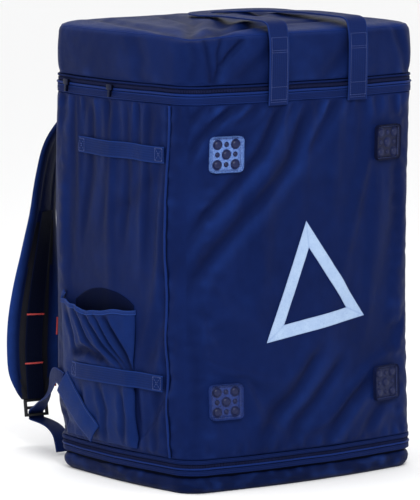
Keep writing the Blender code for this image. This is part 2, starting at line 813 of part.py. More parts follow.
def pad_section(width):
    """Eight corners of a padded strap's section, flat where its webbing lies.

    Each corner is a place across and a place through the strap.
    """
    half = width / 2
    flat = DAISY_WIDTH / 2
    edge = PAD_THICKNESS * 0.26
    full = PAD_THICKNESS / 2
    return ((-half, -edge), (-flat, -full), (flat, -full), (half, -edge),
            (half, edge), (flat, full), (-flat, full), (-half, edge))


def turned_frames(stations):
    """Middle, square direction across, facing direction and width along a strip."""
    frames = []
    last = len(stations) - 1
    for index, (middle, across, width) in enumerate(stations):
        before = stations[max(0, index - 1)][0]
        after = stations[min(last, index + 1)][0]
        tangent = (after - before).normalized()
        across = (across - tangent * across.dot(tangent)).normalized()
        frames.append((middle, across, tangent.cross(across), width))
    return frames


def make_shoulder_strap(side, name):
    """Padded shoulder strap, hanging in a bow behind the back panel."""
    loops = []
    for middle, across, face, width in turned_frames(strap_frames(side)):
        section = pad_section(width)
        loops.append([middle + across * a + face * b for a, b in section])
    add_piece(name, loft(loops), "dark_mesh")


def make_daisy_webbing(side, name):
    """Webbing down the middle of a shoulder strap, on the face towards the body."""
    half = DAISY_WIDTH / 2
    near = PAD_THICKNESS / 2 + SEAT
    far = near + WEBBING_THICKNESS
    section = ((-half, near), (-half, far), (half, far), (half, near))
    loops = []
    for middle, across, face, _ in turned_frames(strap_frames(side))[2:]:
        loops.append([middle + across * a + face * b for a, b in section])
    add_piece(name, loft(loops), "navy_webbing")


def cell_plate(columns, rows, holes, place, thickness):
    """Plate made of a grid of cells, some left out, laid by a placing function.

    The place function turns a point across, down and through the plate into space.
    """
    mesh_builder = bmesh.new()
    levels = (-thickness / 2, thickness / 2)
    grid = {}
    for i, across in enumerate(columns):
        for j, down in enumerate(rows):
            for k, through in enumerate(levels):
                grid[i, j, k] = mesh_builder.verts.new(place(across, down, through))
    cells = {
        (i, j) for i in range(len(columns) - 1) for j in range(len(rows) - 1)
    } - set(holes)
    for i, j in cells:
        square = ((i, j), (i + 1, j), (i + 1, j + 1), (i, j + 1))
        mesh_builder.faces.new([grid[a, b, 1] for a, b in square])
        mesh_builder.faces.new([grid[a, b, 0] for a, b in reversed(square)])
        edges = (((0, -1), 0, 1), ((1, 0), 1, 2), ((0, 1), 2, 3), ((-1, 0), 3, 0))
        for (step_i, step_j), start, end in edges:
            if (i + step_i, j + step_j) not in cells:
                a, b = square[start], square[end]
                mesh_builder.faces.new((grid[*a, 0], grid[*b, 0], grid[*b, 1], grid[*a, 1]))
    loose = [vertex for vertex in mesh_builder.verts if not vertex.link_faces]
    bmesh.ops.delete(mesh_builder, geom=loose, context="VERTS")
    return mesh_builder


def lock_frame(side):
    """Top edge, direction across, direction down and facing direction of a lock."""
    frames = turned_frames(strap_frames(side))
    middle, across, face, _ = frames[-1]
    down = (middle - frames[-2][0]).normalized()
    return middle + down * GAP, across, down, face


def make_lock(side, name):
    """Ladder lock at the lower end of a shoulder strap: three bars and two slots."""
    top, across, down, face = lock_frame(side)
    half = LOCK_WIDTH / 2
    slot = LOCK_SLOT_WIDTH / 2
    columns = (-half, -slot, slot, half)
    rows = [0.0]
    for height in (LOCK_BAR, LOCK_SLOT, LOCK_BAR, LOCK_SLOT, LOCK_BAR):
        rows.append(rows[-1] + height)

    def place(a, d, n):
        return top + across * a + down * d + face * n

    plate = cell_plate(columns, rows, ((1, 1), (1, 3)), place, LOCK_THICKNESS)
    add_piece(name, plate, "black_plastic")


def wing_place(side, y, z, out):
    """Point over whatever lies on a side of the body, for the wing and its webbing."""
    panel = "right" if side > 0 else "left"
    return skin_at(panel, side * y, z, cover(y, z, WING_WIDTH * 0.20) + SEAT + out)


def make_wing(side, name):
    """Tapered cloth anchor, sewn on the side of the body and reaching up and back."""
    steps = 5
    run = Vector((WING_HIGH_Y - WING_LOW_Y, WING_HIGH_Z - WING_LOW_Z)).normalized()
    square = Vector((-run.y, run.x))
    loops = []
    for step in range(steps + 1):
        share = step / steps
        y = WING_LOW_Y + (WING_HIGH_Y - WING_LOW_Y) * share
        z = WING_LOW_Z + (WING_HIGH_Z - WING_LOW_Z) * share
        half = WING_WIDTH * (0.78 + 0.22 * share) / 2
        loop = []
        for edge, out in ((-half, 0.0), (half, 0.0), (half, WING_THICKNESS),
                          (-half, WING_THICKNESS)):
            loop.append(wing_place(side, y + square.x * edge, z + square.y * edge, out))
        loops.append(loop)
    add_piece(name, loft(loops), "navy_cloth")


def make_anchor_webbing(side, name):
    """Webbing from a wing through the lower slot of the lock, with its free end."""
    top, across, down, face = lock_frame(side)
    lift = WING_THICKNESS / 2
    run = Vector((WING_HIGH_Y - WING_LOW_Y, WING_HIGH_Z - WING_LOW_Z)).normalized()
    places = []
    for beyond in (GAP * 2, ANCHOR_WEB_WIDTH * 0.45):
        y = WING_HIGH_Y + run.x * beyond
        z = WING_HIGH_Z + run.y * beyond
        places.append(wing_place(side, y, z, lift))
    start, second = places
    slot_level = LOCK_BAR * 2 + LOCK_SLOT * 1.45
    bar_level = LOCK_BAR * 2.5 + LOCK_SLOT * 2
    clear = LOCK_THICKNESS / 2 + WEBBING_THICKNESS + GAP
    slot = top + down * slot_level
    approach = slot + face * clear * 3.2 - down * LOCK_BAR * 0.8
    upright = Vector((0, -run.y, run.x))
    turn = 0.32
    corner = corner_station("right", turn) if side > 0 else corner_station("back", 1 - turn)
    rounding = skin(corner, WING_HIGH_Z + WEBBING_THICKNESS, lift + WEBBING_THICKNESS * 2)
    outward = corner[1]
    leaning = Vector((side * outward.y * run.y, -side * outward.x * run.y, run.x))
    path = [(start, upright), (second, upright), (rounding, leaning)]
    for share, twist in ((0.34, 0.10), (0.70, 0.60)):
        path.append((rounding.lerp(approach, share), leaning.lerp(across, twist)))
    path.append((approach, across))
    loop = ((slot_level, 0.0), (slot_level + LOCK_SLOT * 0.25, -clear),
            (bar_level, -clear * 1.35), (bar_level + LOCK_BAR * 0.5 + clear * 0.55, -clear * 0.8),
            (bar_level + LOCK_BAR * 0.5 + clear * 0.85, 0.0))
    for level, through in loop:
        path.append((top + down * level + face * through, across))
    end = path[-1][0]
    for outwards, forwards, below in TAIL_ROWS:
        offset = Vector((side * outwards, -forwards, -below)) * TAIL_LENGTH
        path.append((end + offset, across))
    stations = [(middle, turn, ANCHOR_WEB_WIDTH) for middle, turn in path]
    add_piece(name, loft(strip_loops(stations, WEBBING_THICKNESS)), "navy_webbing")


def make_slider(name, distance):
    """Zip slider on the upper coil at the left, with its pull hanging down."""
    coil = BODY_TOP + TOP_BAND_HEIGHT * 0.62
    half = SLIDER_LENGTH / 2
    columns = (-half, -PULL_WIDTH / 2, PULL_WIDTH / 2, half)
    rows = (-SLIDER_HEIGHT / 2, SLIDER_HEIGHT / 2, SLIDER_HEIGHT / 2 + PULL_LENGTH)
    proud = 0.0012 + SEAT + SLIDER_THICKNESS / 2

    def place(a, d, n):
        return skin_at("left", -distance + a, coil - d, proud + n)

    plate = cell_plate(columns, rows, ((0, 1), (2, 1)), place, SLIDER_THICKNESS)
    add_piece(name, plate, "slider_metal")


def make_yoke():
    """Strip across the top of the back panel that the shoulder straps are sewn to."""
    steps = 8
    top = BODY_TOP - GAP
    bottom = top - YOKE_HEIGHT
    loops = []
    for step in range(steps + 1):
        distance = YOKE_WIDTH * (step / steps - 0.5)
        loops.append([
            skin_at("back", distance, bottom, SEAT),
            skin_at("back", distance, top, SEAT),
            skin_at("back", distance, top, SEAT + YOKE_THICKNESS),
            skin_at("back", distance, bottom, SEAT + YOKE_THICKNESS),
        ])
    add_piece("yoke", loft(loops), "navy_cloth")


def build():
    clear_scene()
    for name in FINISHES:
        make_finish(name)
    make_base()
    make_body()
    make_bands()
    make_lid()
    make_piping()
    for panel in ("left", "right"):
        make_pocket(panel, f"pocket_{panel}")
        make_side_strap(panel, f"side_strap_upper_{panel}", UPPER_STRAP_LEVEL)
        make_side_strap(panel, f"side_strap_lower_{panel}", LOWER_STRAP_LEVEL)
    make_patches()
    make_triangle()
    make_handle()
    make_yoke()
    for side, word in ((-1, "left"), (1, "right")):
        make_shoulder_strap(side, f"shoulder_strap_{word}")
        make_daisy_webbing(side, f"strap_webbing_{word}")
        make_lock(side, f"ladder_lock_{word}")
        make_wing(side, f"wing_{word}")
        make_anchor_webbing(side, f"anchor_webbing_{word}")
    make_slider("zip_slider_side", 0.0)
    make_slider("zip_slider_back", 0.112)


build()
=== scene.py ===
# %% [markdown]
# This lesson dresses a finished CAD part, an insulated delivery backpack, with the
# cloth, webbing, zips and plastic that the real bag shows. The CAD nodes stay where
# they are; each soft piece is modelled again more finely and stands for its node.

# %% Load the CAD frame
import math

import bpy
import numpy as np
from mathutils import Matrix, Vector, noise
from mathutils.bvhtree import BVHTree


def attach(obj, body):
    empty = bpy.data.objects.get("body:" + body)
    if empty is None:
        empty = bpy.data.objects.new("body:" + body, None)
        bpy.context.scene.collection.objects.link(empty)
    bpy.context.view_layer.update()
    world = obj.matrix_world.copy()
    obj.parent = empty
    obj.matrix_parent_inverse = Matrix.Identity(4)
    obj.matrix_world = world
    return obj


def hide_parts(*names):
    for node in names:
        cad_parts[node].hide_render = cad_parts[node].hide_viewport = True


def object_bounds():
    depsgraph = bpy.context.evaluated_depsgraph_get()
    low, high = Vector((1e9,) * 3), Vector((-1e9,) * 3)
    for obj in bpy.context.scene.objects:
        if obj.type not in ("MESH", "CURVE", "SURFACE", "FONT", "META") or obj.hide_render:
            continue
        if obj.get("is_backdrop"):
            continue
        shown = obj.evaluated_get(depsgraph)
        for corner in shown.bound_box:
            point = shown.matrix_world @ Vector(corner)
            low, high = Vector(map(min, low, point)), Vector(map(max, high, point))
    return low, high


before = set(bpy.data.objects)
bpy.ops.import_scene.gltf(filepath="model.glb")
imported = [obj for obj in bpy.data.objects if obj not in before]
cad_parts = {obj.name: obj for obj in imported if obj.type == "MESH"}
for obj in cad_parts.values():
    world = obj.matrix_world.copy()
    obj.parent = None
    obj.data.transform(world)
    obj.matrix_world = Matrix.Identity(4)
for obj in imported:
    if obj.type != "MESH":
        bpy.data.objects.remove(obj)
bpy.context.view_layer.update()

# %% [markdown]
# A bag is cut from flat panels that meet at rounded corners, so one outline serves
# the body, the lid, the base and both zip bands. The outline is walked anticlockwise
# from the left end of the front panel: four flat runs with a quarter circle after
# each. At every place of it a station keeps its point, the way outwards and how far
# the padding swells there. All sizes are metres and are those of the CAD part, but
# for two that follow the photograph: the lid turns in by 9 mm at its top edge where
# the CAD has 14 mm, and the shoulder pads are 78 mm wide where it has 74 mm.

# %% Sizes of the bag
WIDTH, DEPTH, CORNER = 0.420, 0.333, 0.040
SWELL = {"front": 0.013, "right": 0.007, "back": 0.004, "left": 0.007}
PUFF, SWAY, TUCK, TUCK_HEIGHT = 0.45, 0.006, 0.018, 0.140
BASE_TOP, BODY_LOW, BODY_HIGH = 0.025, 0.048, 0.543
LID_LOW, LID_HIGH, LID_CROWN, LID_EDGE = 0.569, 0.643, 0.009, 0.009
FLAT_X, FLAT_Y = WIDTH - 2 * CORNER, DEPTH - 2 * CORNER
ARC = math.pi * CORNER / 2
GIRTH = 2 * (FLAT_X + FLAT_Y) + 4 * ARC
PANELS = (
    ("front", FLAT_X, Vector((1, 0, 0)), Vector((0, -1, 0)), DEPTH / 2),
    ("right", FLAT_Y, Vector((0, 1, 0)), Vector((1, 0, 0)), WIDTH / 2),
    ("back", FLAT_X, Vector((-1, 0, 0)), Vector((0, 1, 0)), DEPTH / 2),
    ("left", FLAT_Y, Vector((0, -1, 0)), Vector((-1, 0, 0)), WIDTH / 2),
)
print("girth", round(GIRTH, 3))


# %% The outline and the swelling skin over it
def station(run):
    """Panel, place along it, point, way outwards and swelling at a run round the bag."""
    run %= GIRTH
    for name, length, along, outward, reach in PANELS:
        if run <= length:
            place = run - length / 2
            across = 2 * place / length
            point = outward * reach + along * place
            return name, place, point, outward, SWELL[name] * (1 - across ** 2)
        run -= length
        if run <= ARC:
            turn = run / CORNER
            way = outward * math.cos(turn) + along * math.sin(turn)
            centre = outward * (reach - CORNER) + along * (length / 2)
            return name, length / 2 + run, centre + way * CORNER, way, 0.0
        run -= ARC
    return station(0.0)


def run_of(panel, place):
    """Run round the bag of a place on a panel, measured from the panel's middle."""
    run = 0.0
    for name, length, _, _, _ in PANELS:
        if name == panel:
            return run + length / 2 + place
        run += length + ARC
    return run


def middle_share(z):
    """1 at half the height of the body, 0 at its seams."""
    return max(0.0, 1 - (2 * (z - BODY_LOW) / (BODY_HIGH - BODY_LOW) - 1) ** 2)


def skin(run, z, out=0.0):
    """Point of the bag's smooth outer form."""
    _, _, base, way, swell = station(run)
    point = base + way * (swell * (1 + PUFF * middle_share(z)) + out)
    point.x -= SWAY * middle_share(z)
    point.y -= TUCK * max(0.0, 1 - z / TUCK_HEIGHT) ** 2 * (point.y / DEPTH + 0.5)
    point.z = z
    return point


def at(panel, place, z, out=0.0):
    """The same for a panel's own coordinate: world X on front and back, world Y on sides."""
    sign = -1 if panel in ("back", "left") else 1
    return skin(run_of(panel, sign * place), z, out)


print("front middle", [round(x, 4) for x in at("front", 0, 0.3)])

# %% [markdown]
# Every modelled piece starts as a Blender primitive. These helpers take care of the
# habits that keep operators safe: nothing stays selected from before, the new object
# is the active one, and its place goes into its mesh so that the object itself stays
# at the origin, as the CAD nodes do.


# %% Helpers for modelling
def deselect():
    for other in bpy.context.selected_objects:
        other.select_set(False)


def only(piece):
    """Select one object and make it active."""
    deselect()
    piece.select_set(True)
    bpy.context.view_layer.objects.active = piece


def started(name):
    """Name the primitive that an operator has just added."""
    piece = bpy.context.object
    piece.name = name
    piece.data.name = name
    return piece


def settle(piece):
    """Put the object's place, turn and scale into its mesh."""
    only(piece)
    bpy.ops.object.transform_apply(location=True, rotation=True, scale=True)
    return piece


def modify(piece, kind, **settings):
    """Add a modifier with its settings and apply it."""
    only(piece)
    modifier = piece.modifiers.new(kind.lower(), kind)
    for key, value in settings.items():
        setattr(modifier, key, value)
    bpy.ops.object.modifier_apply(modifier=modifier.name)
    return piece


def smooth(piece, angle=None):
    """Shade smooth, all over or only across edges blunter than an angle in degrees."""
    only(piece)
    if angle is None:
        bpy.ops.object.shade_smooth()
    else:
        bpy.ops.object.shade_smooth_by_angle(angle=math.radians(angle))
    return piece


def face_outwards(piece, weld=0.0):
    """Join points closer than weld, if it is set, and point all faces outwards."""
    only(piece)
    bpy.ops.object.mode_set(mode="EDIT")
    bpy.ops.mesh.select_all(action="SELECT")
    if weld:
        bpy.ops.mesh.remove_doubles(threshold=weld)
    bpy.ops.mesh.normals_make_consistent(inside=False)
    bpy.ops.object.mode_set(mode="OBJECT")
    return piece


def close_ends(piece):
    """Fill the open ends of a drum and point its faces outwards."""
    only(piece)
    bpy.ops.object.mode_set(mode="EDIT")
    bpy.ops.mesh.select_all(action="DESELECT")
    bpy.ops.mesh.select_non_manifold()
    bpy.ops.mesh.edge_face_add()
    bpy.ops.object.mode_set(mode="OBJECT")
    return face_outwards(piece)


def drum(name, sides, rows):
    """Open upright drum whose side is divided into rows, as a tube of cloth is."""
    deselect()
    bpy.ops.mesh.primitive_cylinder_add(vertices=sides, radius=1, depth=1, end_fill_type="NOTHING")
    piece = started(name)
    bpy.ops.object.mode_set(mode="EDIT")
    bpy.ops.mesh.select_mode(type="EDGE")
    bpy.ops.mesh.select_all(action="DESELECT")
    bpy.ops.object.mode_set(mode="OBJECT")
    for edge in piece.data.edges:
        first, last = (piece.data.vertices[index].co for index in edge.vertices)
        edge.select = abs(first.z - last.z) > 0.5
    bpy.ops.object.mode_set(mode="EDIT")
    bpy.ops.mesh.subdivide(number_cuts=rows - 1)
    bpy.ops.object.mode_set(mode="OBJECT")
    return piece


def fit(piece, place):
    """Move every vertex of a drum: place(run, up) gives its point, up from 0 to 1."""
    for vertex in piece.data.vertices:
        turn = math.atan2(vertex.co.y, vertex.co.x) % (2 * math.pi)
        up = vertex.co.z + 0.5
        vertex.co = place(turn / (2 * math.pi) * GIRTH, min(1.0, max(0.0, up)))
    piece.data.update()
    return piece


def mark(piece, name, values):
    """Keep one number for each vertex, for a material to read."""
    layer = piece.data.attributes.get(name) or piece.data.attributes.new(name, "FLOAT", "POINT")
    layer.data.foreach_set("value", list(values))


def only_map(piece):
    """The piece's only UV map, which holds places in the cut cloth in metres."""
    for name in [layer.name for layer in piece.data.uv_layers]:
        piece.data.uv_layers.remove(piece.data.uv_layers[name])
    return piece.data.uv_layers.new(name="cut")


def lay_flat(piece, flat):
    """Write each vertex's place in the cut cloth to the UV map."""
    layer = only_map(piece)
    for loop in piece.data.loops:
        layer.data[loop.index].uv = flat[loop.vertex_index]


def worn_by(piece, slot, *nodes):
    """Let a piece ride on the bag's one body and stand for CAD nodes; slot is not used."""
    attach(piece, "root")
    if nodes:
        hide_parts(*nodes)
    print(piece.name, len(piece.data.polygons), "faces")
    return piece


def dress(piece, finish, slot, *nodes, angle=None):
    """Give a piece its material and smooth shading, and let the bag wear it."""
    piece.data.materials.append(finish)
    smooth(piece, angle)
    return worn_by(piece, slot, *nodes)


# %% [markdown]
# Materials come next, because each piece is given its own as soon as it is made. A
# small class wraps a socket, so that shader maths reads like ordinary arithmetic, and
# a second one adds the other nodes. Only what changes over a surface is linked, and
# only into the few sockets that the export can bake.


# %% Shader arithmetic
class Wire:
    """A number that flows through a material's nodes."""

    def __init__(self, paint, socket):
        self.paint = paint
        self.socket = socket

    def work(self, operation, *others):
        settings = {"operation": operation}
        node = self.paint.node("ShaderNodeMath", settings, {0: self})
        for index, other in enumerate(others, start=1):
            self.paint.feed(node.inputs[index], other)
        return Wire(self.paint, node.outputs[0])

    def __add__(self, other):
        return self.work("ADD", other)

    def __sub__(self, other):
        return self.work("SUBTRACT", other)

    def __mul__(self, other):
        return self.work("MULTIPLY", other)

    def __truediv__(self, other):
        return self.work("DIVIDE", other)

    def __rsub__(self, other):
        return (self * -1).work("ADD", other)

    __radd__ = __add__
    __rmul__ = __mul__

    def __gt__(self, other):
        return self.work("GREATER_THAN", other)

    def __lt__(self, other):
        return self.work("LESS_THAN", other)

    def power(self, other):
        return self.work("POWER", other)

    def sine(self):
        return self.work("SINE")

    def size(self):
        return self.work("ABSOLUTE")

    def beat(self, pitch):
        """Distance within one repeat of a pitch, from 0 to 1."""
        return (self / pitch).work("FRACT")

    def kept(self):
        """The number held between 0 and 1."""
        return self.work("MAXIMUM", 0.0).work("MINIMUM", 1.0)


class Paint:
    """A material with its nodes."""

    def __init__(self, name):
        self.material = bpy.data.materials.new(name)
        self.material.use_nodes = True
        self.nodes = self.material.node_tree.nodes
        self.links = self.material.node_tree.links
        self.surface = self.nodes["Principled BSDF"]

    def feed(self, socket, value):
        if isinstance(value, Wire):
            self.links.new(value.socket, socket)
        elif value is not None:
            socket.default_value = value

    def node(self, kind, settings=None, values=None):
        made = self.nodes.new(kind)
        for key, value in (settings or {}).items():
            if key == "stops":
                ramp = made.color_ramp
                for index, (place, colour) in enumerate(value):
                    stop = ramp.elements[index] if index < 2 else ramp.elements.new(place)
                    stop.position = place
                    stop.color = (*colour, 1)
            else:
                setattr(made, key, value)
        for key, value in (values or {}).items():
            self.feed(made.inputs[key], value)
        return made

    def out(self, node, name=0):
        return Wire(self, node.outputs[name])

    def spot(self):
        """Object coordinates as three numbers and as one vector."""
        vector = self.out(self.node("ShaderNodeTexCoord"), "Object")
        parts = self.node("ShaderNodeSeparateXYZ", None, {0: vector})
        return vector, *(self.out(parts, axis) for axis in range(3))

    def cloth_uv(self):
        """The piece's own UV map, in metres across and along."""
        vector = self.out(self.node("ShaderNodeUVMap", {"uv_map": "cut"}))
        parts = self.node("ShaderNodeSeparateXYZ", None, {0: vector})
        return self.out(parts, 0), self.out(parts, 1)

    def kept_number(self, name):
        return self.out(self.node("ShaderNodeAttribute", {"attribute_name": name}), "Fac")

    def speckle(self, scale, detail=2.0, rough=0.5, vector=None):
        values = {"Scale": scale, "Detail": detail, "Roughness": rough, "Vector": vector}
        return self.out(self.node("ShaderNodeTexNoise", None, values), 0)

    def blend(self, amount, first, second):
        """Mix two colours by a number."""
        values = {0: amount, 6: first, 7: second}
        return self.out(self.node("ShaderNodeMix", {"data_type": "RGBA"}, values), 2)

    def ramp(self, amount, stops):
        return self.out(self.node("ShaderNodeValToRGB", {"stops": stops}, {0: amount}), 0)

    def bump(self, height, reach, before=None, strength=1.0):
        """Bump whose height runs from 0 to 1 over a reach in metres."""
        values = {"Height": height, "Distance": reach, "Strength": strength, "Normal": before}
        return self.out(self.node("ShaderNodeBump", None, values), 0)

    def finish(self, colour=None, rough=None, normal=None, **fixed):
        self.feed(self.surface.inputs["Base Color"], colour)
        self.feed(self.surface.inputs["Roughness"], rough)
        self.feed(self.surface.inputs["Normal"], normal)
        for key, value in fixed.items():
            self.surface.inputs[key.replace("_", " ")].default_value = value
        return self.material


LIT = 1.45


def rgb(red, green, blue):
    """A colour as it looks under the stage light, from 0 to 255, as a node takes it."""
    parts = [c / 255 for c in (red, green, blue)]
    return (*((p / 12.92 if p < 0.04045 else ((p + 0.055) / 1.055) ** 2.4) / LIT for p in parts), 1)


# %% [markdown]
# The shell is a coated polyester in plain weave. Up close its threads cross at about
# one millimetre, each one catching the light in turn, and from further off the eye
# sees a soft mottle. It is painted paler on ridges, as wear and painted highlight, and
# darker in folds, as painted shade.
# Threads follow world directions here, because each panel is cut square to them.


# %% Navy shell cloth
def shell_cloth(name, deep, middle, pale, thread=0.0011, gloss=0.42):
    paint = Paint(name)
    vector, x, y, z = paint.spot()
    facing = paint.node("ShaderNodeSeparateXYZ", None, {
        0: paint.out(paint.node("ShaderNodeNewGeometry"), "Normal")})
    top = paint.out(facing, 2).size().power(4.0)
    side = paint.out(facing, 0).size() > 0.7
    sideways = x + (y - x) * side
    upright = z + (y - z) * (top > 0.4)
    warp = (sideways * (2 * math.pi / thread)).sine()
    weft = (upright * (2 * math.pi / thread)).sine()
    weave = warp * weft * 0.5 + 0.5
    slub = paint.speckle(900.0, 1.0, 0.5, vector)
    mottle = paint.speckle(70.0, 4.0, 0.6, vector)
    cloud = paint.speckle(9.0, 3.0, 0.55, vector)
    # fold darkens creases and hollows as painted shade; the next mark lightens ridges and edges, partly as
    # wear and partly as painted highlight.
    fold = paint.kept_number("fold")
    wear_and_highlight = paint.kept_number("wear_and_highlight")
    base = paint.blend((cloud * 0.9 + mottle * 0.35 - 0.15).kept(), deep, middle)
    lit = paint.blend((wear_and_highlight * (mottle * 0.8 + 0.5)).kept(), base, pale)
    shaded = paint.blend((fold * 0.85).kept(), lit, deep)
    colour = paint.blend((weave * 0.30 + slub * 0.12).kept(), shaded, middle)
    creases = paint.speckle(38.0, 3.0, 0.55, vector)
    normal = paint.bump(creases, 0.0016, strength=0.55)
    normal = paint.bump(weave + slub * 0.5, 0.00016, normal, strength=0.55)
    rough = (mottle * 0.16 + gloss - wear_and_highlight * 0.08).kept()
    return paint.finish(colour, rough, normal, Specular_IOR_Level=0.05, Specular_Tint=(0.3, 0.5, 1.0, 1))


NAVY_DEEP, NAVY, NAVY_PALE = rgb(7, 13, 46), rgb(19, 36, 90), rgb(30, 58, 130)
cloth_body = shell_cloth("shell_cloth_body", NAVY_DEEP, NAVY, NAVY_PALE)
cloth_lid = shell_cloth("shell_cloth_lid", NAVY_DEEP, rgb(20, 38, 93), NAVY_PALE)
cloth_base = shell_cloth("shell_cloth_base", rgb(5, 9, 34), rgb(16, 31, 80), rgb(28, 54, 120))
cloth_pocket = shell_cloth("shell_cloth_pocket", NAVY_DEEP, rgb(19, 36, 88), NAVY_PALE)
cloth_wing = shell_cloth("shell_cloth_wing", NAVY_DEEP, rgb(22, 44, 104), rgb(34, 66, 140))
print("shell cloths ready")

# %% [markdown]
# Webbing is woven thicker, in ribs that run across it, with a firm selvedge at each
# edge. It reads the strip's own UV map in metres, so the ribs follow every bend. The
# same finish, finer and flatter, makes the zip tapes.


# %% Webbing, tape and binding
def webbing(name, deep, middle, pale, half_width, rib=0.0021, relief=0.00045, gloss=0.46):
    paint = Paint(name)
    vector = paint.spot()[0]
    across, along = paint.cloth_uv()
    lean = (across / (rib * 1.6)).beat(1.0).work("SUBTRACT", 0.5).size()
    ribs = (along / rib + lean).beat(1.0)
    ridge = (1 - (ribs - 0.5).size() * 2)
    cords = ((across * (2 * math.pi / (rib * 1.6))).sine() * 0.5 + 0.5)
    edge = ((across.size() - (half_width - 0.0022)) * 900.0).kept()
    mottle = paint.speckle(120.0, 3.0, 0.6, vector)
    cloud = paint.speckle(14.0, 2.0, 0.5, vector)
    base = paint.blend((cloud * 0.8 + mottle * 0.3 - 0.1).kept(), deep, middle)
    # Rib crests and cords are painted paler, a painted highlight on the weave, and the selvedges are paler
    # too.
    colour = paint.blend((ridge * 0.30 + cords * 0.16 + edge * 0.35).kept(), base, pale)
    height = ridge * (cords * 0.4 + 0.6) + edge * 0.35
    normal = paint.bump(height, relief, strength=0.7)
    rough = (mottle * 0.2 + gloss).kept()
    return paint.finish(colour, rough, normal, Specular_IOR_Level=0.05, Specular_Tint=(0.3, 0.5, 1.0, 1))


web_handle = webbing("webbing_handle", rgb(9, 15, 50), rgb(20, 35, 88), rgb(34, 56, 120), 0.017)
web_side = webbing("webbing_side", rgb(8, 15, 50), rgb(19, 38, 94), rgb(32, 60, 130), 0.0115)
web_anchor = webbing("webbing_anchor", rgb(8, 12, 42), rgb(18, 32, 84), rgb(32, 56, 122), 0.0115)
zip_tape = webbing("zip_tape", rgb(6, 10, 38), rgb(16, 28, 76), rgb(30, 54, 122), 0.006,
                   rib=0.0014, relief=0.0002)
bead_cloth = webbing("piping_cloth", rgb(9, 16, 56), rgb(22, 42, 108), rgb(38, 70, 148), 0.004,
                     rib=0.0016, relief=0.0002, gloss=0.34)
print("webbings ready")


# %% Plain moulded and metal finishes
def moulded(name, colour, dark, gloss, grain, spec=0.5, coat=0.0):
    paint = Paint(name)
    vector = paint.spot()[0]
    pebble = paint.speckle(grain, 3.0, 0.6, vector)
    cloud = paint.speckle(40.0, 2.0, 0.5, vector)
    tone = paint.blend((cloud * 0.7 + pebble * 0.3).kept(), dark, colour)
    normal = paint.bump(pebble, 0.00012, strength=0.6)
    rough = (pebble * 0.25 + gloss + cloud * 0.1).kept()
    return paint.finish(tone, rough, normal, Specular_IOR_Level=spec, Coat_Weight=coat)


coil_plastic = moulded("zip_coil", rgb(20, 32, 80), rgb(8, 14, 44), 0.5, 1500.0, 0.1)
black_plastic = moulded("black_plastic", rgb(16, 18, 30), rgb(5, 6, 12), 0.36, 1300.0, 0.3)
stud_plastic = moulded("stud_plastic", rgb(20, 34, 88), rgb(8, 14, 46), 0.22, 900.0, 0.22, 0.0)
thread = moulded("sewing_thread", rgb(60, 82, 150), rgb(30, 44, 100), 0.5, 3000.0)
red_thread = moulded("bartack_thread", rgb(236, 88, 84), rgb(170, 26, 30), 0.45, 2500.0)
print("moulded finishes ready")

# %% [markdown]
# The body is a tube of cloth over soft padding, gathered into the zip band above and
# sewn to the base below. Its long drape folds come first, each as a crease line with
# a valley and a softer ridge beside it. They run where the cloth is pulled between
# the gathers and the left seam. Cloth simulation then lets the whole tube settle, and
# last the tight gathers under the band and the puckers along the seams go on.

# %% Where the drape folds lie
CRISP = 0.72
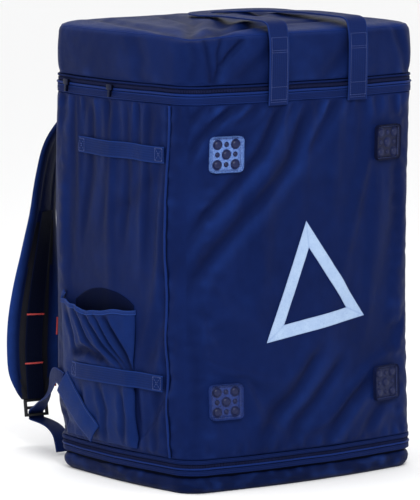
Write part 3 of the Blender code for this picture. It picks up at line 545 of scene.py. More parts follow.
# Columns: panel, crease as places (across, up) in metres, depth, half breadth, ridge.
DRAPE = (
    ("front", ((-0.050, 0.545), (-0.092, 0.470), (-0.139, 0.424), (-0.178, 0.387),
               (-0.205, 0.350)), 0.0075, 0.0100, 0.9),
    ("front", ((-0.002, 0.545), (-0.037, 0.461), (-0.071, 0.428), (-0.116, 0.385),
               (-0.158, 0.343), (-0.190, 0.306), (-0.208, 0.265)), 0.0078, 0.0125, 0.8),
    ("front", ((-0.178, 0.545), (-0.208, 0.512)), 0.0050, 0.0065, 0.7),
    ("front", ((-0.118, 0.545), (-0.160, 0.522), (-0.186, 0.497), (-0.206, 0.462)),
     0.0060, 0.0075, 0.9),
    ("front", ((-0.090, 0.545), (-0.135, 0.512)), 0.0042, 0.0065, 0.7),
    ("front", ((0.050, 0.545), (0.012, 0.490), (-0.010, 0.465)), 0.0040, 0.0090, 0.6),
    ("front", ((0.016, 0.190), (-0.022, 0.141), (-0.063, 0.106), (-0.100, 0.064)),
     0.0062, 0.0125, 0.7),
    ("front", ((0.060, 0.170), (0.009, 0.117), (-0.022, 0.091), (-0.046, 0.062)),
     0.0058, 0.0095, 0.8),
    ("front", ((0.125, 0.142), (0.073, 0.111), (0.022, 0.058)), 0.0060, 0.0110, 0.8),
    ("front", ((0.185, 0.130), (0.135, 0.098), (0.090, 0.056)), 0.0045, 0.0100, 0.7),
    ("front", ((-0.198, 0.250), (-0.186, 0.170), (-0.192, 0.060)), 0.0030, 0.0130, 0.6),
    ("front", ((0.190, 0.520), (0.168, 0.430), (0.176, 0.330)), 0.0035, 0.0150, 0.5),
    ("side", ((-0.060, 0.150), (-0.062, 0.100), (-0.056, 0.048)), 0.0085, 0.0080, 0.9),
    ("side", ((-0.102, 0.140), (-0.100, 0.090), (-0.103, 0.048)), 0.0030, 0.0060, 0.8),
    ("side", ((-0.126, 0.545), (-0.120, 0.350), (-0.125, 0.050)), 0.0032, 0.0060, 0.7),
    ("side", ((-0.083, 0.545), (-0.086, 0.440), (-0.078, 0.300)), 0.0040, 0.0090, 0.7),
    ("side", ((-0.036, 0.545), (-0.040, 0.440), (-0.030, 0.330)), 0.0038, 0.0085, 0.7),
    ("side", ((0.004, 0.545), (0.006, 0.450), (0.020, 0.350)), 0.0036, 0.0090, 0.7),
    ("side", ((0.046, 0.545), (0.050, 0.430), (0.070, 0.330)), 0.0038, 0.0100, 0.7),
    ("side", ((0.095, 0.545), (0.088, 0.420), (0.100, 0.260)), 0.0034, 0.0110, 0.6),
    ("side", ((-0.112, 0.455), (-0.050, 0.405), (0.010, 0.385)), 0.0024, 0.0120, 0.6),
    ("back", ((-0.120, 0.520), (-0.060, 0.380), (-0.050, 0.220)), 0.0040, 0.0150, 0.6),
    ("back", ((0.120, 0.500), (0.070, 0.360), (0.050, 0.140)), 0.0040, 0.0150, 0.6),
    ("back", ((-0.160, 0.200), (-0.090, 0.120), (-0.060, 0.050)), 0.0040, 0.0120, 0.7),
    ("back", ((0.160, 0.180), (0.100, 0.110), (0.070, 0.050)), 0.0040, 0.0120, 0.7),
)


def near_line(place, points):
    """Distance from a line of places, the side of it and the share along it."""
    best = (1e9, 1.0, 0.0)
    runs = [math.dist(a, b) for a, b in zip(points, points[1:])]
    walked = 0.0
    for (a, b), length in zip(zip(points, points[1:]), runs):
        along = ((b[0] - a[0]) / length, (b[1] - a[1]) / length)
        away = (place[0] - a[0], place[1] - a[1])
        share = min(length, max(0.0, away[0] * along[0] + away[1] * along[1]))
        gap = math.hypot(away[0] - along[0] * share, away[1] - along[1] * share)
        if gap < best[0]:
            side = 1.0 if along[0] * away[1] - along[1] * away[0] > 0 else -1.0
            best = (gap, side, (walked + share) / sum(runs))
        walked += length
    return best


def drape(panel, across, z):
    """How far the settled cloth stands out, folds pressed in counting below 0."""
    place = (across, z)
    kind = "side" if panel in ("left", "right") else panel
    height = 0.0
    for name, points, deep, broad, ridge in DRAPE:
        if name != kind or abs(across - points[0][0]) > 0.3:
            continue
        gap, side, share = near_line(place, points)
        if gap > broad * 4:
            continue
        fade = min(1.0, 4.0 * (1.0 - share) + 0.12) * min(1.0, 6.0 * share + 0.35)
        valley = math.exp(-abs(gap / (broad * CRISP)) ** 1.6)
        crest = math.exp(-((gap - broad * 1.5) / broad) ** 2)
        lean = 1.0 if side > 0 else 0.45
        height += fade * deep * (ridge * 0.32 * lean * crest - valley * 0.85)
    return height


print(len(DRAPE), "drape folds")


# %% Gathers under the band and puckers along the seams
def slant(panel, across, drop):
    """Gathers run straight down at the right and lean to the left seam at the left."""
    if panel != "front":
        return across
    return across + drop * max(0.0, min(1.0, (0.10 - across) / 0.20)) * 0.85


def gathers(panel, across, z):
    """Tight little pleats where the cloth is drawn into a band."""
    total = 0.0
    for level, sense, reach, deep in ((BODY_HIGH, 1, 0.050, 0.0026), (BODY_LOW, -1, 0.026, 0.0016)):
        drop = (level - z) * sense
        if drop > reach * 1.6:
            continue
        fade = math.exp(-(drop / reach) ** 2 * 2.2) * (0.25 + 0.75 * min(1.0, drop / 0.006))
        place = slant(panel, across, drop) if sense > 0 else across
        salt = {"front": 0.0, "right": 7.3, "back": 3.1, "left": 7.3}[panel]
        vary = noise.noise(Vector((place * 24.0, salt, sense)))
        beat = noise.noise(Vector((place * 62.0 + vary * 1.3, salt + 4.0, sense + drop * 3)))
        fine = noise.noise(Vector((place * 135.0, salt + 9.0, sense)))
        total += fade * deep * (beat * 1.5 + fine * 0.7 * math.exp(-drop / 0.014))
    return total


def puckers(across_edge, z, panel):
    """Small dimples where the piping pulls the cloth in beside a corner seam."""
    away = abs(across_edge)
    if away > 0.030:
        return 0.0
    wave = noise.noise(Vector((z * 70.0, away * 40.0, 2.0 if panel == "front" else 5.0)))
    return 0.0022 * wave * math.exp(-(away / 0.014) ** 2)


PATCHES = [(side * 0.145, z) for side in (-1, 1) for z in (0.128, 0.474)]


def held(panel, across, z):
    """0 where a stiff moulded patch holds the cloth flat, 1 away from it."""
    if panel != "front":
        return 1.0
    nearest = min(max(abs(across - x), abs(z - level)) for x, level in PATCHES)
    return max(0.0, min(1.0, (nearest - 0.026) / 0.016))


print("gathers and puckers ready")

# %% [markdown]
# The tube starts as a cylinder, divided into rows and fitted over the swelling form
# with its drape folds. Blender's cloth lets it settle: its two ends and the piped
# corners stay pinned, it is cut a little fuller than the form, and a light pressure
# from the padding holds it out. No point may move further than a few millimetres.


# %% Fit and settle the body cloth
def panel_place(run):
    """Panel and its own coordinate at a run round the bag, corners counted to a panel."""
    name, place, _, _, _ = station(run)
    half = (FLAT_X if name in ("front", "back") else FLAT_Y) / 2
    if place > half + ARC / 2:
        order = ["front", "right", "back", "left"]
        name = order[(order.index(name) + 1) % 4]
        place = place - half - ARC - (FLAT_X if name in ("front", "back") else FLAT_Y) / 2
    return name, (-place if name in ("back", "left") else place)


def body_point(run, up):
    z = BODY_LOW + (BODY_HIGH - BODY_LOW) * up
    panel, across = panel_place(run)
    ends = min(1.0, min(up, 1 - up) * 30)
    return skin(run, z, drape(panel, across, z) * ends * held(panel, across, z))


def settle_cloth(piece, pinned, fuller, most, frames=18, pressure=1.2, stiff=6.0):
    """Run Blender's cloth on a piece and keep the result, capped at a distance."""
    only(piece)
    start = [vertex.co.copy() for vertex in piece.data.vertices]
    group = piece.vertex_groups.new(name="pinned")
    for index, weight in pinned.items():
        group.add([index], weight, "REPLACE")
    modifier = piece.modifiers.new("cloth", "CLOTH")
    cloth = modifier.settings
    cloth.quality = 6
    cloth.mass = 0.15
    cloth.tension_stiffness = 18.0
    cloth.compression_stiffness = 18.0
    cloth.shear_stiffness = 5.0
    cloth.bending_stiffness = stiff
    cloth.tension_damping = 12.0
    cloth.bending_damping = 2.0
    cloth.shrink_min = -fuller
    cloth.use_pressure = True
    cloth.uniform_pressure_force = pressure
    cloth.vertex_group_mass = "pinned"
    cloth.pin_stiffness = 1.0
    modifier.collision_settings.use_self_collision = False
    modifier.point_cache.frame_start = 1
    modifier.point_cache.frame_end = frames
    scene = bpy.context.scene
    for step in range(1, frames + 1):
        scene.frame_set(step)
    bpy.ops.object.modifier_apply(modifier="cloth")
    scene.frame_set(1)
    furthest = 0.0
    for vertex, before in zip(piece.data.vertices, start):
        move = vertex.co - before
        if move.length > most:
            move *= most / move.length
        furthest = max(furthest, move.length)
        vertex.co = before + move
    piece.vertex_groups.clear()
    print(piece.name, "settled, furthest", round(furthest * 1000, 1), "mm")
    return piece


body = fit(drum("body_cloth", 264, 88), body_point)
pins = {}
for vertex in body.data.vertices:
    z = vertex.co.z
    under = vertex.co.y < -DEPTH / 2 and held("front", vertex.co.x, z) < 0.5
    if under or z > BODY_HIGH - 0.004 or z < BODY_LOW + 0.004:
        pins[vertex.index] = 1.0
    elif vertex.co.y < -0.13 and abs(vertex.co.x) > 0.175:
        pins[vertex.index] = 0.35
settle_cloth(body, pins, fuller=0.013, most=0.005, pressure=0.8, stiff=9.0)
modify(body, "SUBSURF", levels=1, render_levels=1)
print("body cloth", len(body.data.polygons), "faces")


# %% Sew the fine gathers into it
def refine(piece, height):
    """Move each point along its own normal by height(co) and list these steps."""
    normals = [vertex.normal.copy() for vertex in piece.data.vertices]
    rise = []
    for vertex, normal in zip(piece.data.vertices, normals):
        step = height(vertex.co)
        vertex.co += normal * step
        rise.append(step)
    piece.data.update()
    return rise


def run_at(point):
    """Run round the bag of a point near its form."""
    x, y = point.x + SWAY * middle_share(point.z), point.y
    inner_x, inner_y = FLAT_X / 2, FLAT_Y / 2
    if y < -inner_y and abs(x) <= inner_x:
        return run_of("front", x)
    if x > inner_x and abs(y) <= inner_y:
        return run_of("right", y)
    if y > inner_y and abs(x) <= inner_x:
        return run_of("back", -x)
    if x < -inner_x and abs(y) <= inner_y:
        return run_of("left", -y)
    turn = math.atan2(y - math.copysign(inner_y, y), x - math.copysign(inner_x, x))
    quarter = {(1, -1): ("front", inner_x, -math.pi / 2), (1, 1): ("right", inner_y, 0.0),
               (-1, 1): ("back", inner_x, math.pi / 2), (-1, -1): ("left", inner_y, math.pi)}
    name, half, first = quarter[(1 if x > 0 else -1, 1 if y > 0 else -1)]
    past = (turn - first + math.pi) % (2 * math.pi) - math.pi
    return run_of(name, half) + CORNER * max(0.0, min(math.pi / 2, past))


def fine_cloth(point):
    run = run_at(point)
    panel, across = panel_place(run)
    seam = min(abs(abs(across) - (FLAT_X if panel in ("front", "back") else FLAT_Y) / 2), 1.0)
    small = noise.noise(point * 26.0) * 0.0005 + noise.noise(point * 60.0) * 0.0003
    height = gathers(panel, across, point.z) + puckers(seam, point.z, panel) + small
    ends = min(1.0, min(point.z - BODY_LOW, BODY_HIGH - point.z) / 0.003)
    return height * max(0.0, ends) * held(panel, across, point.z)


rise = refine(body, fine_cloth)
# Hollows of the settled cloth are painted darker as painted shade, and its ridges paler as wear and painted
# highlight.
hollows, wear_and_highlights = [], []
for vertex, step in zip(body.data.vertices, rise):
    run = run_at(vertex.co)
    panel, across = panel_place(run)
    deep = drape(panel, across, vertex.co.z) + step
    hollows.append(min(1.0, max(0.0, -deep / 0.0050)))
    wear_and_highlights.append(min(0.6, max(0.0, deep / 0.0055)))
mark(body, "fold", hollows)
mark(body, "wear_and_highlight", wear_and_highlights)
close_ends(body)
dress(body, cloth_body, "navy_cloth", "body_shell")

# %% [markdown]
# Everything sewn or glued to the body lies on the settled cloth, so its surface is
# searched with rays from outside. Webbing bridges narrow folds, so it asks for the
# highest cloth nearby, while tape that is glued down follows the cloth closely.

# %% Find the cloth from outside
FAR = 0.05


def tree_of(*pieces):
    """One search tree over several finished pieces."""
    points, faces = [], []
    for piece in pieces:
        first = len(points)
        points += [vertex.co.copy() for vertex in piece.data.vertices]
        faces += [[first + index for index in face.vertices] for face in piece.data.polygons]
    return BVHTree.FromPolygons(points, faces)


def stands_out(tree, panel, across, z):
    """How far the cloth stands out from the smooth form at a place, 0 where none is met."""
    start = at(panel, across, z, FAR)
    inward = (at(panel, across, z, 0.0) - start).normalized()
    hit, _, _, distance = tree.ray_cast(start, inward, FAR * 1.6)
    return 0.0 if hit is None else FAR - distance


def over(tree, panel, across, z, reach=0.0, mean=False):
    """Height of the cloth at a place, highest or mean within a reach around it."""
    if reach == 0.0:
        return stands_out(tree, panel, across, z)
    steps = [(0, 0), (1, 0), (-1, 0), (0, 1), (0, -1), (0.7, 0.7), (-0.7, 0.7), (0.7, -0.7), (-0.7, -0.7)]
    heights = [stands_out(tree, panel, across + a * reach, z + b * reach) for a, b in steps]
    return sum(heights) / len(heights) if mean else max(heights)


body_tree = tree_of(body)
print("front middle stands out", round(over(body_tree, "front", 0.0, 0.3) * 1000, 2), "mm")

# %% [markdown]
# The lid is a shallow padded box of the same cloth. Its front left corner has sunk and
# crumpled, long creases run over its top from there, and its zip edge is drawn in. It
# is a drum too, whose upper rows turn inwards over the top and close at the middle.


# %% Shape the lid
LID_SIDE, LID_TALL = 0.40, LID_HIGH - LID_LOW
DENTS = ((-0.98, -0.98, 0.0088, 0.056), (-0.55, -0.80, 0.0032, 0.044),
         (-0.40, 0.30, 0.0022, 0.067), (0.20, -0.35, 0.0018, 0.067), (0.95, 0.80, 0.0032, 0.059))
# Columns: crease over the top as places (x, y), depth, half breadth.
TOP_CREASES = (
    (((-0.195, -0.150), (-0.120, -0.060), (-0.060, 0.100)), 0.0050, 0.0110),
    (((-0.185, -0.155), (-0.060, -0.125), (0.080, -0.110)), 0.0050, 0.0100),
    (((-0.200, -0.120), (-0.185, 0.000), (-0.150, 0.140)), 0.0040, 0.0090),
    (((-0.150, -0.150), (-0.020, -0.030), (0.140, 0.060)), 0.0038, 0.0140),
    (((0.185, -0.140), (0.110, -0.020), (0.020, 0.120)), 0.0036, 0.0130),
    (((-0.160, 0.130), (0.000, 0.110), (0.170, 0.135)), 0.0036, 0.0120),
)
# Columns: crease down the side as places (run beyond the front left corner, up), depth, breadth.
SIDE_CREASES = (
    (((-0.010, 0.97), (-0.004, 0.55), (0.000, 0.10)), 0.0056, 0.0036),
    (((0.052, 0.86), (0.030, 0.62), (0.012, 0.36), (0.006, 0.08)), 0.0066, 0.0044),
    (((0.022, 0.99), (0.012, 0.70), (0.010, 0.42)), 0.0054, 0.0032),
    (((-0.030, 0.92), (-0.022, 0.50), (-0.030, 0.15)), 0.0026, 0.0060),
    (((0.120, 0.95), (0.085, 0.50), (0.050, 0.18)), 0.0034, 0.0100),
    (((0.260, 0.90), (0.225, 0.45), (0.200, 0.12)), 0.0026, 0.0110),
    (((0.330, 0.96), (0.345, 0.50), (0.352, 0.10)), 0.0030, 0.0070),
    (((-0.140, 0.92), (-0.120, 0.45), (-0.130, 0.10)), 0.0020, 0.0120),
)


def lid_point(run, up):
    way = station(run)[3]
    if up <= LID_SIDE:
        share = up / LID_SIDE
        z = LID_LOW + 0.0006 + LID_TALL * share
        bulge = 0.0022 * math.sin(math.pi * min(1.0, share * 1.05))
        bulge -= 0.0016 * math.exp(-(share / 0.10) ** 2)
        round_in = LID_EDGE * max(0.0, (share - 0.84) / 0.16) ** 2.4
        point = skin(run, z, bulge - round_in)
        z_drop = share
    else:
        share = 1 - (up - LID_SIDE) / (1 - LID_SIDE)
        edge = skin(run, LID_HIGH, -LID_EDGE)
        rise = LID_CROWN * (1 - share ** 2) ** 0.75 + 0.0012 * (1 - share)
        point = Vector((edge.x * share, edge.y * share, LID_HIGH + rise))
        z_drop = 1.0
    for across, along, deep, wide in DENTS:
        away = math.hypot(point.x - across * WIDTH / 2, point.y - along * DEPTH / 2) / wide
        point.z -= deep * z_drop * math.exp(-away ** 2)
    if up <= LID_SIDE:
        beyond = (run - FLAT_X / 2 + GIRTH / 2) % GIRTH - GIRTH / 2 + FLAT_X / 2
        for line, deep, broad in SIDE_CREASES:
            points = [(a, b * LID_TALL) for a, b in line]
            gap = near_line((beyond, z_drop * LID_TALL), points)[0]
            press = math.exp(-(gap / broad) ** 2) - 0.35 * math.exp(-((gap - broad * 1.7) / broad) ** 2)
            point -= way * deep * press * min(1.0, 5 * (1 - z_drop) + 0.2) * min(1.0, 8 * z_drop)
    else:
        for line, deep, broad in TOP_CREASES:
            gap, _, share = near_line((point.x, point.y), line)
            press = math.exp(-(gap / broad) ** 2) - 0.45 * math.exp(-((gap - broad * 1.8) / broad) ** 2)
            point.z -= deep * press * min(1.0, 5 * share + 0.2) * min(1.0, 5 * (1 - share) + 0.2)
    return point


lid = drum("lid_cloth", 264, 52)
pinned_rows = [vertex.index for vertex in lid.data.vertices if vertex.co.z < -0.49]
inner_rows = [vertex.index for vertex in lid.data.vertices if vertex.co.z > 0.49]
fit(lid, lambda run, up: lid_point(run, min(up, 0.985)))
pins = {index: 1.0 for index in pinned_rows}
pins.update({index: 0.6 for index in inner_rows})
settle_cloth(lid, pins, fuller=0.007, most=0.0022, frames=14, pressure=0.35, stiff=9.0)
modify(lid, "SUBSURF", levels=1, render_levels=1)


def lid_fine(point):
    lift = min(1.0, max(0.0, point.z - LID_LOW) / 0.004)
    drawn = math.exp(-((point.z - LID_LOW) / 0.014) ** 2)
    beat = noise.noise(Vector((run_at(point) * 55.0, 1.7, point.z * 8.0)))
    small = noise.noise(point * 24.0) * 0.0006 + noise.noise(point * 58.0) * 0.0003
    return (beat * 0.0014 * drawn + small) * lift


rise = refine(lid, lid_fine)

def lid_crease(point):
    """How deep in a crease a point of the lid lies, 0 to 1."""
    deepest = 0.0
    if point.z < LID_HIGH - 0.010:
        beyond = (run_at(point) - FLAT_X / 2 + GIRTH / 2) % GIRTH - GIRTH / 2 + FLAT_X / 2
        place, creases = (beyond, point.z - LID_LOW), SIDE_CREASES
        creases = [([(a, b * LID_TALL) for a, b in line], deep, broad) for line, deep, broad in creases]
    else:
        place, creases = (point.x, point.y), TOP_CREASES
    for line, deep, broad in creases:
        gap = near_line(place, line)[0]
        deepest = max(deepest, math.exp(-(gap / broad) ** 2) * deep / 0.0055)
    return deepest


# The lid's creases are painted darker as painted shade. A band along its top edge is a painted highlight,
# and its raised cloth is painted paler as wear and painted highlight.
mark(lid, "fold", [min(1.0, max(0.0, -step / 0.0016) * 0.5 + lid_crease(v.co))
                   for step, v in zip(rise, lid.data.vertices)])
mark(lid, "wear_and_highlight", [min(0.5, max(0.0, step / 0.0030)) + max(0.0, 0.5 - abs(v.co.z - 0.640) * 60)
                  for step, v in zip(rise, lid.data.vertices)])
close_ends(lid)
dress(lid, cloth_lid, "navy_cloth", "lid")

# %% [markdown]
# The base is a flat pad that the bag stands on. Weight has pressed it into soft
# horizontal wrinkles, and it tucks in under the lower zip band.


# %% Shape the base
def base_point(run, up):
    panel, across = panel_place(run)
    z = BASE_TOP * up
    belly = math.sin(math.pi * min(1.0, up * 1.02)) ** 0.7
    out = -0.0070 + 0.0078 * belly - 0.0030 * max(0.0, up - 0.85) / 0.15
    wave = noise.noise(Vector((across * 9.0, up * 1.2, {"front": 1.0, "back": 5.0}.get(panel, 9.0))))
    fold = noise.noise(Vector((across * 22.0 + up * 1.5, up * 3.5, 3.0)))
    out += (wave * 0.0040 + fold * 0.0022) * belly
    return skin(run, z, out)


base = fit(drum("base_cloth", 264, 12), base_point)
modify(base, "SUBSURF", levels=1, render_levels=1)
rise = refine(base, lambda p: (noise.noise(p * 55.0) * 0.0008 + noise.noise(
    Vector((run_at(p) * 60, p.z * 90, 0))) * 0.0006) * min(1.0, p.z / 0.006))
# The base is painted darker in its dips and towards the floor, as painted shade, and paler on its bulges,
# as wear and painted highlight.
mark(base, "fold", [min(1.0, max(0.0, -step / 0.0012) + max(0.0, 0.4 - v.co.z * 50))
                    for step, v in zip(rise, base.data.vertices)])
mark(base, "wear_and_highlight", [min(1.0, max(0.0, step / 0.0012)) for step in rise])
for vertex in base.data.vertices:
    vertex.co.z = max(0.0, vertex.co.z)
close_ends(base)
dress(base, cloth_base, "navy_cloth", "base_pad")

# %% [markdown]
# A zip band is a stack of thin rings: a tape with two rows of stitches, a round bead
# of piping, the coil of the zip half hidden in its slot, and the second tape. Each
# ring is a drum whose rows follow a small profile, and whose strip of UV runs in
# metres along the girth, so that the tape's ribs are woven at their real size.


# %% Rings for the zip bands
def wave_up(run):
    """The bands of a soft bag never run quite level."""
    return 0.0011 * noise.noise(Vector((run * 7.0, 0.0, 8.0))) + 0.0004 * noise.noise(
        Vector((run * 22.0, 0.0, 3.0)))


def ring(name, profile, finish, slot_name, nodes=(), sides=288):
    """Closed ring round the bag; profile lists its section as (height, out), outside first."""
    rows = len(profile) - 1
    piece = drum(name, sides, rows)
    for vertex in piece.data.vertices:
        turn = math.atan2(vertex.co.y, vertex.co.x) % (2 * math.pi)
        row = round((vertex.co.z + 0.5) * rows)
        run = turn / (2 * math.pi) * GIRTH
        height, out = profile[row]
        vertex.co = skin(run, height + wave_up(run), out)
    face_outwards(piece, weld=0.00001)
    layer = only_map(piece)
    middle = sum(height for height, _ in profile) / len(profile)
    for face in piece.data.polygons:
        runs = []
        for loop_index in face.loop_indices:
            vertex = piece.data.vertices[piece.data.loops[loop_index].vertex_index]
            runs.append(run_at(vertex.co))
        wrapped = max(runs) - min(runs) > GIRTH / 2
        for loop_index, run in zip(face.loop_indices, runs):
            vertex = piece.data.vertices[piece.data.loops[loop_index].vertex_index]
            run = run + GIRTH if wrapped and run < GIRTH / 2 else run
            layer.data[loop_index].uv = (vertex.co.z - middle, run)
    return dress(piece, finish, slot_name, *nodes, angle=50)


def tape_profile(low, high, out, thick=0.0016):
    """Section of a tape with two pressed stitch lines, closed behind."""
    tall = high - low
    steps = ((0.00, -0.4), (0.04, 0.6), (0.16, 1.0), (0.24, 0.45), (0.32, 1.0), (0.66, 1.0),
             (0.74, 0.45), (0.82, 1.0), (0.96, 0.6), (1.00, -0.4))
    front = [(low + tall * share, out + (depth - 1.0) * 0.0007) for share, depth in steps]
    return front + [(high, out - thick), (low, out - thick), front[0]]


def bead_profile(level, radius, out):
    """Round section of a piping bead."""
    turns = [math.pi * (-0.5 + step / 10 * 2) for step in range(11)]
    return [(level + radius * math.sin(turn), out + radius * math.cos(turn)) for turn in turns]


ring("top_tape_lower_woven", tape_profile(0.5434, 0.5548, 0.0012), zip_tape, "navy_webbing",
     ("top_tape_lower",))
ring("top_piping_bead", bead_profile(0.5572, 0.0019, 0.0004), bead_cloth, "navy_webbing")
ring("top_tape_upper_woven", tape_profile(0.5656, 0.5688, 0.0008), zip_tape, "navy_webbing",
     ("top_tape_upper",))
ring("base_tape_lower_woven", tape_profile(0.0256, 0.0330, 0.0012), zip_tape, "navy_webbing",
     ("base_tape_lower",))
ring("base_piping_bead", bead_profile(0.0352, 0.0016, 0.0006), bead_cloth, "navy_webbing")
ring("base_tape_upper_woven", tape_profile(0.0416, 0.0474, 0.0012), zip_tape, "navy_webbing",
     ("base_tape_upper",))


# %% Teeth of the zips
def copied(name, pattern, places, finish):
    """One mesh of many copies of a small pattern, each at its own place and turn."""
    points = np.array([vertex.co for vertex in pattern.data.vertices])
    faces = [tuple(face.vertices) for face in pattern.data.polygons]
    all_points, all_faces = [], []
    for index, frame_of in enumerate(places):
        turn = np.array(frame_of.to_3x3())
        shift = np.array(frame_of.translation)
        all_points.append(points @ turn.T + shift)
        all_faces += [tuple(v + index * len(points) for v in face) for face in faces]
    mesh = bpy.data.meshes.new(name)
    mesh.from_pydata([tuple(p) for p in np.concatenate(all_points)], [], all_faces)
    piece = bpy.data.objects.new(name, mesh)
    bpy.context.collection.objects.link(piece)
    mesh.materials.append(finish)
    return piece


def frame_at(origin, along, outward):
    """Frame with X along, Z outwards and Y square to both."""
    along = along.normalized()
    outward = (outward - along * outward.dot(along)).normalized()
    side = outward.cross(along)
    turn = Matrix((along, side, outward)).transposed().to_4x4()
    return Matrix.Translation(origin) @ turn


deselect()
bpy.ops.mesh.primitive_cube_add(size=1)
tooth = started("tooth_pattern")
tooth.scale = (0.0015, 0.0040, 0.0016)
settle(tooth)
bpy.ops.object.mode_set(mode="EDIT")
bpy.ops.mesh.select_all(action="SELECT")
bpy.ops.mesh.bevel(offset=0.00035, segments=1)
bpy.ops.object.mode_set(mode="OBJECT")
for name, level, node in (("top_coil_teeth", 0.5620, "top_coil"), ("base_coil_teeth", 0.0385, "base_coil")):
    places = []
    count = int(GIRTH / 0.0024)
    for index in range(count):
        run = GIRTH * index / count
        here = skin(run, level + wave_up(run), -0.0008)
        ahead = skin(run + 0.001, level + wave_up(run), -0.0008)
        places.append(frame_at(here, ahead - here, station(run)[3]))
    teeth = copied(name, tooth, places, coil_plastic)
    worn_by(teeth, "zip_coil", node)
bpy.data.objects.remove(tooth, do_unlink=True)
for name, low, high in (("top_coil_slot", 0.5592, 0.5650), ("base_coil_slot", 0.0362, 0.0412)):
    ring(name, [(low, -0.0022), (high, -0.0022), (high, -0.0032), (low, -0.0032), (low, -0.0022)],
         coil_plastic, "zip_coil")

# %% [markdown]
# Piping is a cord wrapped in cloth. It covers the seam where the front panel meets a
# side, so a slim tube follows that edge of the side panel. A near-black strip under it,
# painted shade beside the cord, comes later, with the lid's welt.


# %% Piping down the front edges
PIPING_RADIUS, PIPING_LOW, PIPING_TALL, PIPING_ROWS = 0.0021, 0.0490, 0.4925, 120


def softened(values, times):
    """The same list with its bumps evened out, its two ends kept."""
    for _ in range(times):
        middle = [(a + 2 * b + c) / 4 for a, b, c in zip(values, values[1:], values[2:])]
        values = [values[0], *middle, values[-1]]
    return values


def piping(name, side, node):
    """Round cord up the front edge of one side panel."""
    piece = drum(name, 10, PIPING_ROWS)
    panel = "left" if side < 0 else "right"
    run = run_of(panel, -side * FLAT_Y / 2)
    way = station(run)[3]
    along = Vector((-way.y, way.x, 0))
    levels = [PIPING_LOW + PIPING_TALL * row / PIPING_ROWS for row in range(PIPING_ROWS + 1)]
    rises = softened([stands_out(body_tree, panel, -FLAT_Y / 2, z) for z in levels], 30)
    for vertex in piece.data.vertices:
        turn = math.atan2(vertex.co.y, vertex.co.x)
        share = min(1.0, max(0.0, vertex.co.z + 0.5))
        z = PIPING_LOW + PIPING_TALL * share
        wobble = 0.0008 * noise.noise(Vector((z * 12, side, 0)))
        centre = skin(run, z, rises[round(share * PIPING_ROWS)] + 0.0012) + along * wobble
        vertex.co = centre + (way * math.sin(turn) + along * math.cos(turn)) * PIPING_RADIUS
    close_ends(piece)
    lay_flat(piece, [(0.0, vertex.co.z) for vertex in piece.data.vertices])
    return dress(piece, bead_cloth, "navy_webbing", node, angle=60)


piping("piping_cord_left", -1, "piping_left")
piping("piping_cord_right", 1, "piping_right")

# %% [markdown]
# Two flat inner collars close the gaps behind the zips, so that no light shows through
# where a band stands off the wavy cloth.


# %% Collars behind the zips
collar_cloth = shell_cloth("collar_cloth", rgb(2, 3, 12), rgb(6, 10, 32), rgb(9, 14, 40), gloss=0.7)
for name, low, high in (("collar_top", BODY_HIGH - 0.010, LID_LOW + 0.010),
                        ("collar_base", BASE_TOP - 0.008, BODY_LOW + 0.010)):
    collar = fit(drum(name, 132, 6), lambda run, up: skin(run, low + (high - low) * up, -0.0040))
    for key in ("fold", "wear_and_highlight"):
        mark(collar, key, [0.0] * len(collar.data.vertices))
    close_ends(collar)
    dress(collar, collar_cloth, "navy_cloth")

# %% [markdown]
# Webbing, elastic and tape are all ribbons: flat, of one width, and laid along a line
# with a known way outwards. A grid is modelled once, its rows are placed along that
# line, its UV map is kept in metres, and Solidify gives it its real thickness.


# %% Ribbons along a spine
def smoothed(points, parts):
    """Points of a smooth curve through the given ones (Catmull-Rom)."""
    made = []
    last = len(points) - 1
    for index in range(last):
        a, b = points[max(0, index - 1)], points[index]
        c, d = points[index + 1], points[min(last, index + 2)]
        for part in range(parts):
            t = part / parts
            made.append(0.5 * (b * 2 + (c - a) * t + (a * 2 - b * 5 + c * 4 - d) * t * t
                               + (b * 3 - a - c * 3 + d) * t * t * t))
    made.append(points[last].copy())
    return made


def ribbon(name, spine, width, thick, finish, slot_name, nodes=(), columns=8, crown=0.0):
    """Flat ribbon; spine lists (point, way across), width may change from row to row."""
    count = len(spine)
    deselect()
    bpy.ops.mesh.primitive_grid_add(x_subdivisions=columns, y_subdivisions=count - 1, size=1)
    piece = started(name)
    widths = [width] * count if isinstance(width, float) else width
    walked = [0.0]
    for (a, _), (b, _) in zip(spine, spine[1:]):
        walked.append(walked[-1] + (b - a).length)
    flat = []
    for vertex in piece.data.vertices:
        column = vertex.co.x
        row = min(count - 1, max(0, round((vertex.co.y + 0.5) * (count - 1))))
        point, across = spine[row]
        ahead = spine[min(count - 1, row + 1)][0] - spine[max(0, row - 1)][0]
        ahead.normalize()
        across = (across - ahead * across.dot(ahead)).normalized()
        lift = ahead.cross(across) * (crown * (1 - 4 * column * column))
        vertex.co = point + across * (column * widths[row]) + lift
        flat.append((column * widths[row], walked[row]))
    lay_flat(piece, flat)
    modify(piece, "SOLIDIFY", thickness=thick, offset=0.0)
    modify(piece, "BEVEL", width=thick * 0.22, segments=2, limit_method="ANGLE",
           angle_limit=math.radians(50))
    return dress(piece, finish, slot_name, *nodes, angle=40)


# %% [markdown]
# Sewing shows on the real bag as short slanting stitches, so each stitch is a small
# rounded bead of thread. One is modelled and copied along every seam; rows of them
# are straight lines given in the piece's own place, dropped onto the cloth by rays.


# %% Rows of stitches
deselect()
bpy.ops.mesh.primitive_uv_sphere_add(segments=6, ring_count=5, radius=1)
stitch = started("stitch_pattern")
stitch.scale = (0.0014, 0.00042, 0.00034)
settle(stitch)


def dropped(tree, places, way, lift=0.0002):
    """Where rays from places meet a piece, lifted a little off it."""
    hits = [tree.ray_cast(place, way)[0] for place in places]
    return [hit - way * lift for hit in hits if hit is not None]


